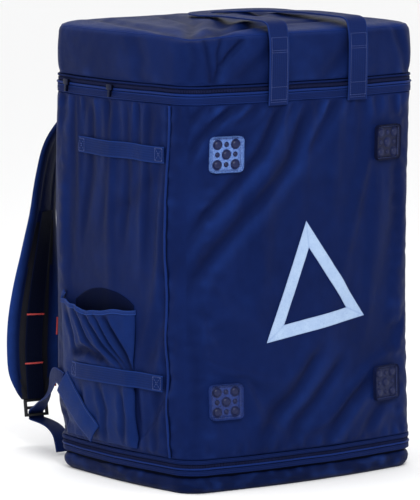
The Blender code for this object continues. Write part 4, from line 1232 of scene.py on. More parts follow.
def stitch_line(points, way, pitch=0.0042):
    """Frames for stitches along a line of points that all face one way."""
    frames = []
    for a, b in zip(points, points[1:]):
        length = (b - a).length
        if length < 1e-6:
            continue
        for index in range(max(1, round(length / pitch))):
            share = (index + 0.5) / max(1, round(length / pitch))
            frames.append(frame_at(a.lerp(b, share), b - a, way))
    return frames


def sewn(name, frames):
    """All the stitches of one seam as one piece."""
    piece = copied(name, stitch, frames, thread)
    smooth(piece)
    return worn_by(piece, "navy_webbing")


print("stitch ready")

# %% [markdown]
# Each side pocket is one piece of cloth, taken as cut 0.200 m wide for a place of
# 0.176 m and drawn together by elastic at the hem. Its pleats all run down to the
# lower front corner, where the strap crosses. A grid is bent over its place and the
# pleats are pressed in as creases with a softer ridge on either side.

# %% Where the pocket's pleats lie
POCKET_BACK, POCKET_FRONT, POCKET_LOW, POCKET_TALL, POCKET_DEEP = 0.116, 0.060, 0.054, 0.196, 0.022
RISE = ((0.0, 0.0), (0.12, 0.26), (0.30, 0.42), (0.52, 0.44), (0.74, 0.68), (1.0, 1.0))
# Columns: crease as places (behind the side's middle, up), depth, half breadth, ridge.
PLEATS = (
    (((-0.012, 0.236), (-0.040, 0.195), (-0.057, 0.164)), 0.0085, 0.0042, 0.8),
    (((0.010, 0.238), (-0.020, 0.198), (-0.050, 0.166)), 0.0048, 0.0030, 1.2),
    (((0.034, 0.238), (0.000, 0.200), (-0.040, 0.168)), 0.0050, 0.0036, 1.1),
    (((0.062, 0.242), (0.034, 0.200), (-0.010, 0.170)), 0.0048, 0.0050, 1.0),
    (((0.092, 0.238), (0.074, 0.200), (0.070, 0.180)), 0.0036, 0.0060, 0.8),
    (((0.074, 0.176), (0.040, 0.184), (0.004, 0.176)), 0.0080, 0.0070, 0.6),
    (((-0.034, 0.136), (-0.040, 0.100), (-0.034, 0.060)), 0.0040, 0.0055, 0.9),
    (((0.014, 0.136), (0.004, 0.100), (0.010, 0.060)), 0.0034, 0.0060, 0.8),
    (((0.060, 0.132), (0.060, 0.100), (0.052, 0.070)), 0.0034, 0.0080, 0.7),
)


def table_at(table, share):
    for (a, low), (b, high) in zip(table, table[1:]):
        if share <= b:
            return low + (high - low) * max(0.0, share - a) / (b - a)
    return table[-1][1]


def pocket_out(y, z):
    """How far the pocket's cloth stands off the body."""
    across = (y + POCKET_FRONT) / (POCKET_BACK + POCKET_FRONT)
    up = (z - POCKET_LOW) / POCKET_TALL
    round_off = math.sin(math.pi * min(1.0, max(0.0, across))) ** 0.62
    out = POCKET_DEEP * round_off * table_at(RISE, up)
    near_hem = math.exp(-((1 - up) / 0.16) ** 2)
    out -= 0.0022 * near_hem * round_off * (1 + noise.noise(Vector((y * 90, 3.0, 1.0))))
    for line, deep, broad, ridge in PLEATS:
        gap, _, share = near_line((y, z), line)
        press = math.exp(-(gap / broad) ** 2)
        press -= 0.40 * ridge * math.exp(-((gap - broad * 1.8) / broad) ** 2)
        fade = min(1.0, 4 * share + 0.15) * min(1.0, 5 * (1 - share) + 0.25)
        out -= deep * press * fade * round_off ** 0.4
    out += 0.0008 * noise.noise(Vector((y * 45, z * 45, 4.0)))
    return max(0.0009, out + 0.0009)


def hem_level(y):
    """Height of the pocket's hem, lowest behind its middle."""
    return 0.2485 - 0.0075 * math.exp(-((y - 0.025) / 0.040) ** 2) + 0.0008 * math.sin(y * 150)


def pocket(side, name, node):
    """Pocket of one side, bent over the body and gathered at its hem."""
    panel = "right" if side > 0 else "left"
    deselect()
    bpy.ops.mesh.primitive_grid_add(x_subdivisions=84, y_subdivisions=92, size=1)
    piece = started(name)
    flat = []
    for vertex in piece.data.vertices:
        share, up = vertex.co.x + 0.5, vertex.co.y + 0.5
        y = -POCKET_FRONT + (POCKET_BACK + POCKET_FRONT) * share
        z = POCKET_LOW + (hem_level(y) - POCKET_LOW) * up
        floor_out = over(body_tree, panel, y, z, 0.003)
        rim = min(1.0, min(share, 1 - share) * 14, up * 14)
        out = max(floor_out, 0.0) * rim + floor_out * (1 - rim) + pocket_out(y, z)
        vertex.co = at(panel, y, z, out)
        flat.append((share * 0.23, up * 0.205))
    lay_flat(piece, flat)
    if side > 0:
        piece.data.flip_normals()
    values = []
    for vertex in piece.data.vertices:
        y, z = vertex.co.y, vertex.co.z
        deep = 0.0
        for line, depth, broad, _ in PLEATS:
            gap = near_line((y, z), line)[0]
            deep = max(deep, math.exp(-(gap / broad) ** 2) * depth / 0.0085)
        values.append(deep)
    # The pleats are painted darker as painted shade, and the cloth between them paler as painted highlight
    # and wear.
    mark(piece, "fold", values)
    mark(piece, "wear_and_highlight", [0.35 * (1 - value) for value in values])
    modify(piece, "SOLIDIFY", thickness=0.0012, offset=1.0)
    return dress(piece, cloth_pocket, "navy_cloth", node)


pocket_left = pocket(-1, "pocket_cloth_left", "pocket_left")
pocket_right = pocket(1, "pocket_cloth_right", "pocket_right")
left_tree, right_tree = tree_of(body, pocket_left), tree_of(body, pocket_right)
TREES = {"left": left_tree, "right": right_tree, "front": body_tree, "back": body_tree}


# %% Elastic hem of each pocket, and a dark sheet painted as the shadow in its mouth
elastic = webbing("elastic_hem", rgb(12, 22, 66), rgb(26, 46, 108), rgb(50, 80, 156), 0.004, rib=0.0022,
                  relief=0.0004, gloss=0.5)
mouth_shadow_paint = shell_cloth("mouth_painted_shadow", rgb(1, 1, 6), rgb(11, 20, 56), rgb(16, 28, 70), gloss=0.7)
for side, panel in ((-1, "left"), (1, "right")):
    spine = []
    for step in range(75):
        y = -POCKET_FRONT - 0.001 + (POCKET_BACK + POCKET_FRONT) * step / 74
        z = hem_level(y)
        out = over(TREES[panel], panel, y, z - 0.004, 0.0) + 0.0008
        spine.append((at(panel, y, z - 0.0012, out), Vector((0, 0, 1))))
    tail = at(panel, POCKET_BACK - 0.001, hem_level(POCKET_BACK), 0.0030)
    for share in (0.35, 0.7, 1.0):
        spine.append((tail + Vector((side * 0.004 * share, -0.010 * share ** 2, 0.0125 * share)),
                      Vector((0, 1 - share * 0.3, 0.6 - share * 0.3)).normalized()))
    ribbon(f"pocket_hem_{panel}", spine, 0.0062, 0.0022, elastic, "navy_webbing", columns=6, crown=0.0006)
    # A thin dark sheet on the side above the hem is a painted shadow in the pocket's mouth. It is darkest
    # at the hem.
    deselect()
    bpy.ops.mesh.primitive_grid_add(x_subdivisions=48, y_subdivisions=24, size=1)
    mouth_shadow_sheet = started(f"pocket_mouth_shadow_{panel}")
    shadow_depths = []
    for vertex in mouth_shadow_sheet.data.vertices:
        y, up = -0.056 + 0.140 * (vertex.co.x + 0.5), vertex.co.y + 0.5
        arch = 0.274 - 0.020 * abs((y - 0.010) / 0.070) ** 2.2
        z = 0.205 + (arch - 0.205) * up
        shadow_depths.append(min(1.0, 1.9 * (1.0 - up)))
        vertex.co = at(panel, y, z, over(body_tree, panel, y, z) + 0.0006)
    if side > 0:
        mouth_shadow_sheet.data.flip_normals()
    mark(mouth_shadow_sheet, "fold", shadow_depths)
    mark(mouth_shadow_sheet, "wear_and_highlight", [0.0] * len(shadow_depths))
    modify(mouth_shadow_sheet, "SOLIDIFY", thickness=0.0005, offset=0.0)
    dress(mouth_shadow_sheet, mouth_shadow_paint, "navy_cloth")

# %% [markdown]
# Two flat straps cross each side, over the pocket where it is in the way, and are
# sewn down at both ends with a box of stitches. They bridge the folds below them.


# %% Straps across the sides
STRAP_WIDE, STRAP_BACK, STRAP_FRONT, STRAP_STEPS = 0.023, 0.078, -0.119, 60
BOX_FROM, BOX_LONG, BOX_HALF = (-0.116, 0.064), 0.014, 0.009


def strap_spine(panel, level):
    """Middle of a strap that bridges the folds below it, from back to front."""
    steps, width = STRAP_STEPS, STRAP_WIDE
    heights = []
    for step in range(steps + 1):
        y = STRAP_BACK + (STRAP_FRONT - STRAP_BACK) * step / steps
        tall = max(over(TREES[panel], panel, y, level + edge, 0.004)
                   for edge in (-width * 0.40, 0.0, width * 0.40))
        heights.append(tall)
    for _ in range(3):
        heights = [max(h, (heights[max(0, i - 1)] + heights[min(steps, i + 1)]) / 2)
                   for i, h in enumerate(heights)]
    spine = []
    for step, tall in enumerate(heights):
        y = STRAP_BACK + (STRAP_FRONT - STRAP_BACK) * step / steps
        near = [heights[min(steps, max(0, step + shift))] for shift in (-2, -1, 0, 1, 2)]
        dip = 0.0016 * noise.noise(Vector((y * 14, level * 9, 2.0)))
        spine.append((at(panel, y, level + dip, sum(near) / 5 + 0.0016), Vector((0, 0, 1))))
    return spine


def box_rows(corner_a, corner_b, panel, lift):
    """Stitches round a box and across it, as on any sewn webbing end."""
    (y0, z0), (y1, z1) = corner_a, corner_b
    lines = (((y0, z0), (y1, z0)), ((y1, z0), (y1, z1)), ((y1, z1), (y0, z1)), ((y0, z1), (y0, z0)),
             ((y0, z0), (y1, z1)), ((y0, z1), (y1, z0)))
    way = (at(panel, y0, z0, 0.01) - at(panel, y0, z0, 0.0)).normalized()
    frames, count = [], 6
    for a, b in lines:
        points = []
        for step in range(count + 1):
            y, z = a[0] + (b[0] - a[0]) * step / count, a[1] + (b[1] - a[1]) * step / count
            points.append(at(panel, y, z, lift(y, z)))
        frames += stitch_line(points, way, 0.0036)
    return frames


for panel in ("left", "right"):
    for place, level in (("upper", 0.473), ("lower", 0.153)):
        strap = ribbon(f"side_webbing_{place}_{panel}", strap_spine(panel, level), STRAP_WIDE, 0.0016,
                       web_side, "navy_webbing", (f"side_strap_{place}_{panel}",), columns=10)
        strap_tree = tree_of(strap, body)
        frames = []
        for near in BOX_FROM:
            frames += box_rows((near, level - BOX_HALF), (near + BOX_LONG, level + BOX_HALF), panel,
                               lambda y, z: over(strap_tree, panel, y, z) + 0.0002)
        sewn(f"side_stitches_{place}_{panel}", frames)

# %% [markdown]
# The four guards on the front are moulded in soft plastic: a rounded plate with a
# stitched border and a cross of glossy domes. One is modelled flat from a cube and
# spheres, then bent over each place. Their plates are painted from pale blue to near
# black: painted reflection on the left ones, painted shade on the right ones.


# %% Moulded guards with their domes
GUARD, GUARD_THICK, GUARD_X, GUARD_HIGH, GUARD_LOW = 0.050, 0.0022, 0.145, 0.474, 0.128
DOME, SMALL_DOME, DOME_STEP = 0.0060, 0.0031, 0.0140


def plate_paint(name, pale, dark, gloss):
    """Soft plastic, pitted and worn in patches."""
    paint = Paint(name)
    vector = paint.spot()[0]
    pits = paint.node("ShaderNodeTexVoronoi", {"feature": "F1"}, {"Vector": vector, "Scale": 620.0})
    pit = paint.out(pits, 0)
    cloud = paint.speckle(90.0, 3.0, 0.6, vector)
    tone = paint.blend((pit * 0.9 + cloud * 0.6 - 0.25).kept(), pale, dark)
    normal = paint.bump(pit, 0.0004, strength=0.7)
    return paint.finish(tone, (cloud * 0.2 + gloss).kept(), normal, Specular_IOR_Level=0.2)


# Plate colours are painted light: pale at the upper left as painted reflection, mid blue at the lower left,
# near black at the right as painted shade.
plates = {
    (-1, GUARD_HIGH): plate_paint("guard_pale", rgb(122, 158, 222), rgb(40, 66, 142), 0.34),
    (-1, GUARD_LOW): plate_paint("guard_blue", rgb(40, 66, 140), rgb(14, 24, 70), 0.42),
    (1, GUARD_HIGH): plate_paint("guard_dark", rgb(15, 24, 66), rgb(7, 11, 38), 0.46),
    (1, GUARD_LOW): plate_paint("guard_dim", rgb(20, 34, 84), rgb(9, 15, 46), 0.46),
}
deselect()
bpy.ops.mesh.primitive_cube_add(size=1, location=(0, 0, GUARD_THICK / 2))
plate = started("guard_plate")
plate.scale = (GUARD, GUARD, GUARD_THICK)
settle(plate)
bpy.ops.object.mode_set(mode="EDIT")
bpy.ops.mesh.select_mode(type="EDGE")
bpy.ops.object.mode_set(mode="OBJECT")
for edge in plate.data.edges:
    a, b = (plate.data.vertices[index].co for index in edge.vertices)
    edge.select = abs(a.z - b.z) > 0.001
bpy.ops.object.mode_set(mode="EDIT")
bpy.ops.mesh.bevel(offset=0.007, segments=6)
bpy.ops.object.mode_set(mode="OBJECT")
modify(plate, "BEVEL", width=0.0007, segments=3, limit_method="ANGLE", angle_limit=math.radians(50))
domes = []
for column in (-1, 0, 1):
    for row in (-1, 0, 1):
        large = (column + row) % 2 == 0
        radius = DOME if large else SMALL_DOME
        deselect()
        bpy.ops.mesh.primitive_uv_sphere_add(segments=24, ring_count=12, radius=radius,
                                             location=(column * DOME_STEP, row * DOME_STEP, 0.0020))
        bump = started("dome")
        bump.scale = (1, 1, 0.50 if large else 0.55)
        settle(bump)
        deselect()
        bpy.ops.mesh.primitive_torus_add(major_radius=radius * 1.08, minor_radius=radius * 0.13,
                                         major_segments=24, minor_segments=8,
                                         location=(column * DOME_STEP, row * DOME_STEP, 0.0021))
        domes += [bump, started("dome_rim")]
for dome in domes:
    dome.select_set(True)
bpy.context.view_layer.objects.active = domes[0]
bpy.ops.object.join()
studs = bpy.context.object
studs.name = "guard_studs"


half = GUARD / 2 - 0.0028
corners = [Vector((half * x, half * y, 0)) for x, y in ((-1, -1), (1, -1), (1, 1), (-1, 1), (-1, -1))]
for (side, level), finish in plates.items():
    place = f"{'low' if level < 0.3 else 'high'}_{'left' if side < 0 else 'right'}"
    parts = []
    for pattern, colour in ((plate, finish), (studs, stud_plastic)):
        part = bpy.data.objects.new("part", pattern.data.copy())
        bpy.context.collection.objects.link(part)
        part.data.materials.clear()
        part.data.materials.append(colour)
        lift = over(body_tree, "front", side * GUARD_X, level, 0.018) + 0.0004
        for vertex in part.data.vertices:
            u, v, w = vertex.co
            vertex.co = at("front", side * GUARD_X + u, level + v, lift + w)
        parts.append(part)
    frames = []
    for a, b in zip(corners, corners[1:]):
        points = []
        for step in range(13):
            p = a.lerp(b, 0.06 + 0.88 * step / 12)
            points.append(at("front", side * GUARD_X + p.x, level + p.y, lift + 0.0024))
        frames += stitch_line(points, Vector((0, -1, 0)), 0.0034)
    parts.append(copied("border", stitch, frames, thread))
    deselect()
    for part in parts:
        part.select_set(True)
    bpy.context.view_layer.objects.active = parts[0]
    bpy.ops.object.join()
    guard = bpy.context.object
    guard.name = guard.data.name = f"guard_{place}"
    smooth(guard, 35)
    worn_by(guard, "moulded_patch", f"patch_{place}")
for pattern in (plate, studs):
    bpy.data.objects.remove(pattern, do_unlink=True)

# %% [markdown]
# The triangle is reflective tape in three strips with mitred corners, glued and sewn
# to the front, so it takes every fold of the cloth. It begins as a three-sided
# circle, is inset to the tape's width, opened, and finely divided before it is laid.


# %% Triangle of reflective tape
def tape_paint():
    """Pale film over fine cells, duller at its rims and mitres."""
    paint = Paint("reflective_tape")
    vector = paint.spot()[0]
    cells = paint.node("ShaderNodeTexVoronoi", {"feature": "DISTANCE_TO_EDGE"},
                       {"Vector": vector, "Scale": 420.0})
    cell = paint.out(cells, 0)
    worn = paint.speckle(60.0, 4.0, 0.65, vector)
    seam = paint.kept_number("mitre")
    # The tape's rims are painted darker, and so are its mitres.
    rim_darkening = paint.kept_number("rim")
    tone = paint.blend((worn * 1.1 - 0.25 + seam * 0.5).kept(), rgb(182, 208, 240), rgb(140, 168, 214))
    tone = paint.blend(((cell < 0.06) * 0.35 + rim_darkening * 0.30).kept(), tone, rgb(112, 138, 194))
    normal = paint.bump(cell, 0.0002, strength=0.4)
    normal = paint.bump(worn, 0.0006, normal, strength=0.4)
    return paint.finish(tone, (worn * 0.25 + 0.30).kept(), normal, Specular_IOR_Level=0.6)


TAPE, SPAN, TILT, TRIANGLE_X, TRIANGLE_Z = 0.019, 0.181, math.radians(7.6), 0.007, 0.269
deselect()
bpy.ops.mesh.primitive_circle_add(vertices=3, radius=SPAN / math.sqrt(3), fill_type="NGON")
triangle = started("reflective_triangle_tape")
bpy.ops.object.mode_set(mode="EDIT")
bpy.ops.mesh.select_all(action="SELECT")
bpy.ops.mesh.inset(thickness=TAPE, depth=0)
bpy.ops.mesh.delete(type="FACE")
bpy.ops.mesh.select_all(action="SELECT")
bpy.ops.mesh.subdivide(number_cuts=7)
bpy.ops.mesh.subdivide(number_cuts=5)
bpy.ops.object.mode_set(mode="OBJECT")
flats = [vertex.co.copy() for vertex in triangle.data.vertices]
first = max(flats, key=lambda p: p.length)
spin = math.pi / 2 + TILT - math.atan2(first.y, first.x)
mitres, rims = [], []
for vertex in triangle.data.vertices:
    flat_place = Matrix.Rotation(spin, 3, "Z") @ vertex.co
    turn = (math.atan2(flat_place.y, flat_place.x) - math.pi / 2 - TILT) % (2 * math.pi / 3)
    turn = min(turn, 2 * math.pi / 3 - turn)
    away = flat_place.length * math.sin(turn)
    mitres.append(math.exp(-(away / 0.0011) ** 2))
    facing = math.cos(math.pi / 3 - turn) * flat_place.length
    edge = min(abs(facing - SPAN / math.sqrt(12)), abs(facing - SPAN / math.sqrt(12) + TAPE))
    rims.append(math.exp(-(edge / 0.0012) ** 2))
    x, z = TRIANGLE_X + flat_place.x, TRIANGLE_Z + flat_place.y
    out = over(body_tree, "front", x, z, 0.004, mean=True)
    out = max(out, over(body_tree, "front", x, z, 0.0) + 0.0001)
    vertex.co = at("front", x, z, out + 0.0006)
mark(triangle, "mitre", mitres)
mark(triangle, "rim", rims)
face_outwards(triangle)
if sum(face.normal.y for face in triangle.data.polygons) > 0:
    triangle.data.flip_normals()
modify(triangle, "SOLIDIFY", thickness=0.0006, offset=1.0)
dress(triangle, tape_paint(), "reflective_tape", "reflective_triangle", angle=50)

# %% [markdown]
# The carry handle is one long loop of heavy webbing. Both legs are sewn to the body
# below the zip, cross the lid's front with a little slack, arch over its edge and
# join in a flat turn lying on top.


# %% Carry handle
HANDLE_WIDE, HANDLE_THICK, HANDLE_GAP, HANDLE_X = 0.034, 0.0026, 0.142, 0.007
HANDLE_LONG, ARCH = 0.215, 0.011
SEAM_LEVELS, SEAM_EDGE = (0.5430, 0.5462, 0.5640, 0.6120, 0.6150, 0.6330), 0.0138
half = HANDLE_GAP / 2
face = at("front", half - HANDLE_WIDE / 2 - HANDLE_X, 0.5413, 0.0005 + HANDLE_THICK / 2).y
top = LID_HIGH + 0.0005 + HANDLE_THICK / 2
leg = [Vector(row) for row in (
    (0, face - 0.0016, 0.5385), (0, face - 0.0030, 0.5560), (0, face - ARCH * 0.34, LID_LOW + 0.0148),
    (0, face - ARCH * 0.40, LID_LOW + 0.046), (0, face - ARCH * 0.22, LID_HIGH - 0.007),
    (0, face + ARCH * 0.5, top + ARCH * 0.72), (0, face + ARCH * 3.4, top + ARCH * 0.98),
    (0, face + HANDLE_LONG * 0.50, top + LID_CROWN * 0.75 + ARCH * 0.45),
    (0, face + HANDLE_LONG - half * 0.8, top + LID_CROWN + 0.0008))]
leg = smoothed(leg, 9)
spine, widths = [], []
for point in leg:
    spine.append((Vector((HANDLE_X - half, point.y, point.z)), Vector((1, 0, 0))))
    widths.append(HANDLE_WIDE)
for step in range(1, 40):
    angle = math.pi * step / 40
    spine.append((Vector((HANDLE_X - half * math.cos(angle), leg[-1].y + half * 0.9 * math.sin(angle),
                          leg[-1].z + 0.0006 * math.sin(angle * 3))),
                  Vector((math.cos(angle), -math.sin(angle) * 1.1, 0.04 * math.sin(angle * 2)))))
    widths.append(HANDLE_WIDE * 0.95)
for point in reversed(leg):
    spine.append((Vector((HANDLE_X + half, point.y, point.z)), Vector((-1, 0, 0))))
    widths.append(HANDLE_WIDE)
handle = ribbon("carry_handle_webbing", spine, widths, 0.0024, web_handle, "navy_webbing",
                ("carry_handle",), columns=12)
handle_tree = tree_of(handle)
frames = []
for side in (-1, 1):
    middle = HANDLE_X + side * half
    rows = [([(middle + (step / 8 - 0.5) * 0.028, level) for step in range(9)], 0.0034)
            for level in SEAM_LEVELS]
    rows += [([(middle + edge, 0.545 + 0.088 * step / 29) for step in range(30)], 0.0040)
             for edge in (-SEAM_EDGE, SEAM_EDGE)]
    for places, pitch in rows:
        points = dropped(handle_tree, [Vector((x, -0.30, z)) for x, z in places], Vector((0, 1, 0)))
        frames += stitch_line(points, Vector((0, -1, 0)), pitch)
sewn("handle_stitches", frames)

# %% [markdown]
# A flat near-black strip lies under each piping as a thin dark edge on either side,
# painted shade in the groove of the seam, and a welt of the same cloth as the piping
# runs round the lid where its top panel meets its sides.


# %% Painted shade beside the piping, and the welt round the lid
piping_shade_paint = webbing("piping_shade_edge", rgb(3, 5, 20), rgb(6, 10, 34), rgb(10, 18, 52), 0.004, rib=0.0012,
                     relief=0.0001)
for panel in ("left", "right"):
    spine = []
    for row in range(61):
        z = BODY_LOW + 0.003 + (BODY_HIGH - BODY_LOW - 0.006) * row / 60
        out = over(body_tree, panel, -FLAT_Y / 2, z, 0.003, mean=True)
        way = (at(panel, -FLAT_Y / 2, z, 0.01) - at(panel, -FLAT_Y / 2, z)).normalized()
        spine.append((at(panel, -FLAT_Y / 2, z, out + 0.0004), Vector((-way.y, way.x, 0))))
    ribbon(f"piping_shade_strip_{panel}", spine, 0.0072, 0.0007, piping_shade_paint, "navy_webbing", columns=4)

lid_tree = tree_of(lid)
spine = []
for step in range(361):
    run = GIRTH * ((step / 360 + 0.62) % 1.0)
    way = station(run)[3]
    look = (way + Vector((0, 0, 1))).normalized()
    corner = skin(run, LID_HIGH - 0.004, -0.004)
    hit = lid_tree.ray_cast(corner + look * 0.03, -look)[0]
    spine.append(((hit or corner) + look * 0.0003, (way - Vector((0, 0, 1))).normalized()))
middles = softened([point for point, _ in spine], 3)
spine = [(point, across) for point, (_, across) in zip(middles, spine)]
ribbon("lid_welt", spine, 0.0030, 0.0016, bead_cloth, "navy_webbing", columns=4, crown=0.0006)

# %% [markdown]
# The shoulder straps are long pads sewn to a yoke at the top of the back. They bow
# out behind the bag and end in ladder locks. Below MESH_START the face towards the
# back is dark air mesh between two turned edges of shell cloth, and above it the face
# is cloth too. A webbing runs down the middle of the part with mesh. Red bartacks cross
# it at two levels, and two more sit along the pad's edge. Their places are those of
# the two ticks that show in the photograph.


# %% The line of a shoulder strap
PAD_THICK, PAD_WIDE, BOW, SPREAD, YOKE_THICK = 0.013, 0.078, 0.130, 0.140, 0.003
# Columns: height, distance behind, distance from the middle, turn in degrees, width.
STRAP_ROWS = (
    (0.985, 0.000, 0.72, 0, 0.66), (0.960, 0.004, 0.74, 2, 0.66), (0.915, 0.330, 0.84, 16, 0.66),
    (0.835, 0.575, 0.95, 24, 0.68), (0.740, 0.665, 1.00, 24, 0.72), (0.620, 0.740, 1.01, 18, 0.78),
    (0.500, 0.815, 1.01, 4, 0.86), (0.390, 0.900, 1.00, -10, 0.94), (0.290, 0.965, 0.99, -20, 1.00),
    (0.200, 1.000, 0.98, -25, 1.00), (0.125, 1.000, 0.97, -26, 0.96), (0.075, 0.985, 0.97, -26, 0.74),
    (0.045, 0.970, 0.97, -26, 0.52))


MESH_START = 0.345
QUILT_INSET, DAISY_WIDE = 0.0165, 0.025
TACK_LEVELS = (0.201, 0.1253)
EDGE_TACK_LEVELS = (0.1796, 0.100)


def strap_line(side, parts):
    """Middle, way across, way the face looks and width, from the yoke down."""
    top = BODY_LOW + (BODY_HIGH - BODY_LOW) * 0.985
    behind = at("back", SPREAD * 0.72 - PAD_WIDE * 0.33, top, 0.0008 + YOKE_THICK).y
    rows, sizes = [], []
    for height, back, spread, turn, width in STRAP_ROWS:
        rows.append(Vector((side * SPREAD * spread, behind + BOW * back + PAD_THICK / 2,
                            BODY_LOW + (BODY_HIGH - BODY_LOW) * height)))
        sizes.append(Vector((turn, width, 0)))
    rows, sizes = smoothed(rows, parts), smoothed(sizes, parts)
    line = []
    for index, (point, size) in enumerate(zip(rows, sizes)):
        turn = math.radians(size.x) * -side
        ahead = (rows[min(len(rows) - 1, index + 1)] - rows[max(0, index - 1)]).normalized()
        across = Vector((math.cos(turn), math.sin(turn), 0))
        across = (across - ahead * across.dot(ahead)).normalized()
        line.append((point, across, ahead.cross(across), PAD_WIDE * size.y))
    return line


def mesh_paint():
    """Open spacer mesh: near black holes three millimetres apart."""
    paint = Paint("air_mesh")
    vector = paint.spot()[0]
    across, along = paint.cloth_uv()
    holes_a = (across * (2 * math.pi / 0.0030)).sine() * (along * (2 * math.pi / 0.0030)).sine()
    holes = (holes_a * 0.5 + 0.5).kept()
    cloud = paint.speckle(60.0, 3.0, 0.6, vector)
    tone = paint.blend((holes * 0.7 + cloud * 0.3).kept(), rgb(1, 1, 5), rgb(8, 11, 32))
    normal = paint.bump(holes, 0.0006, strength=0.6)
    return paint.finish(tone, (cloud * 0.2 + 0.62).kept(), normal, Specular_IOR_Level=0.2)


air_mesh = mesh_paint()
cloth_strap = shell_cloth("shell_cloth_strap", rgb(5, 10, 36), rgb(17, 32, 82), rgb(32, 60, 132),
                          gloss=0.46)
web_daisy = webbing("webbing_daisy", rgb(3, 4, 10), rgb(8, 11, 28), rgb(18, 24, 54), 0.0125)


# %% Shoulder pads, their webbing and red bartacks
def section_at(turn, width):
    """Place across and through a pad's section: flat faces, rolled edges, quilted."""
    half, full = width / 2, PAD_THICK / 2
    a = math.copysign(abs(math.cos(turn)) ** 0.55, math.cos(turn)) * half
    edge = abs(a) / half
    b = math.copysign(abs(math.sin(turn)) ** 0.70, math.sin(turn)) * full
    quilt = 1.0 - 0.30 * math.exp(-((half - abs(a) - QUILT_INSET) / 0.0022) ** 2)
    return a, b * quilt * (0.97 - 0.25 * edge ** 4)


for side, name in ((-1, "left"), (1, "right")):
    line = strap_line(side, 12)
    rows = len(line) - 1
    pad = drum(f"shoulder_pad_{name}", 56, rows)
    flat = []
    for vertex in pad.data.vertices:
        turn = math.atan2(vertex.co.y, vertex.co.x)
        row = min(rows, max(0, round((vertex.co.z + 0.5) * rows)))
        middle, across, face_way, width = line[row]
        a, b = section_at(turn, width)
        wrinkle = 0.0006 * noise.noise(Vector((a * 60, row * 0.12, side)))
        vertex.co = middle + across * a + face_way * (b + wrinkle)
        flat.append((a, row * 0.0042, b))
    close_ends(pad)
    lay_flat(pad, [place[:2] for place in flat])
    pad.data.materials.append(cloth_strap)
    pad.data.materials.append(air_mesh)
    for face in pad.data.polygons:
        spots = [flat[index] for index in face.vertices]
        inner = sum(spot[2] for spot in spots) / len(spots) > 0.001
        centre = abs(sum(spot[0] for spot in spots) / len(spots))
        below = pad.data.vertices[face.vertices[0]].co.z < MESH_START
        face.material_index = 1 if inner and centre < 0.0205 and below else 0
    seam = PAD_WIDE / 2 - QUILT_INSET
    # The quilting groove is painted darker as painted shade, and the rolled edges paler as painted
    # highlight and wear.
    mark(pad, "fold", [min(1.0, max(0.0, 1.2 - abs(seam - abs(a)) * 500)) for a, _, _ in flat])
    mark(pad, "wear_and_highlight", [min(1.0, max(0.0, (abs(a) - 0.024) * 90)) for a, _, _ in flat])
    smooth(pad, 60)
    worn_by(pad, "dark_mesh", f"shoulder_strap_{name}")
    spine = [(point + face_way * (PAD_THICK / 2 + 0.0012), across)
             for point, across, face_way, _ in line if point.z < MESH_START + 0.012]
    ribbon(f"strap_daisy_{name}", spine, DAISY_WIDE, 0.0016, web_daisy, "navy_webbing",
           (f"strap_webbing_{name}",), columns=8)
    deselect()
    bpy.ops.mesh.primitive_cube_add(size=1)
    bar = started("bartack_pattern")
    bar.scale = (0.0270, 0.0024, 0.0014)
    settle(bar)
    modify(bar, "BEVEL", width=0.0005, segments=2)
    frames = []
    for level in TACK_LEVELS:
        point, across, face_way, _ = min(line, key=lambda part: abs(part[0].z - level))
        frames.append(frame_at(point + face_way * (PAD_THICK / 2 + 0.0024), across, face_way))
    for level in EDGE_TACK_LEVELS:
        index = min(range(len(line)), key=lambda number: abs(line[number][0].z - level))
        point, across, face_way, width = line[index]
        ahead = (line[index + 1][0] - point).normalized()
        edge = point - across * side * (width / 2 - 0.004) + face_way * (PAD_THICK / 2 - 0.0012)
        frames.append(frame_at(edge, ahead, face_way))
    tacks = copied(f"bartacks_{name}", bar, frames, red_thread)
    smooth(tacks, 40)
    worn_by(tacks, "navy_webbing")
    bpy.data.objects.remove(bar, do_unlink=True)

# %% [markdown]
# Low on each side a tapered wing of cloth is sewn over the pocket and reaches up and
# back. A webbing leaves its tip, goes round the back corner and through the lower slot
# of the lock, and its free end hangs forward with a folded, sewn tip.


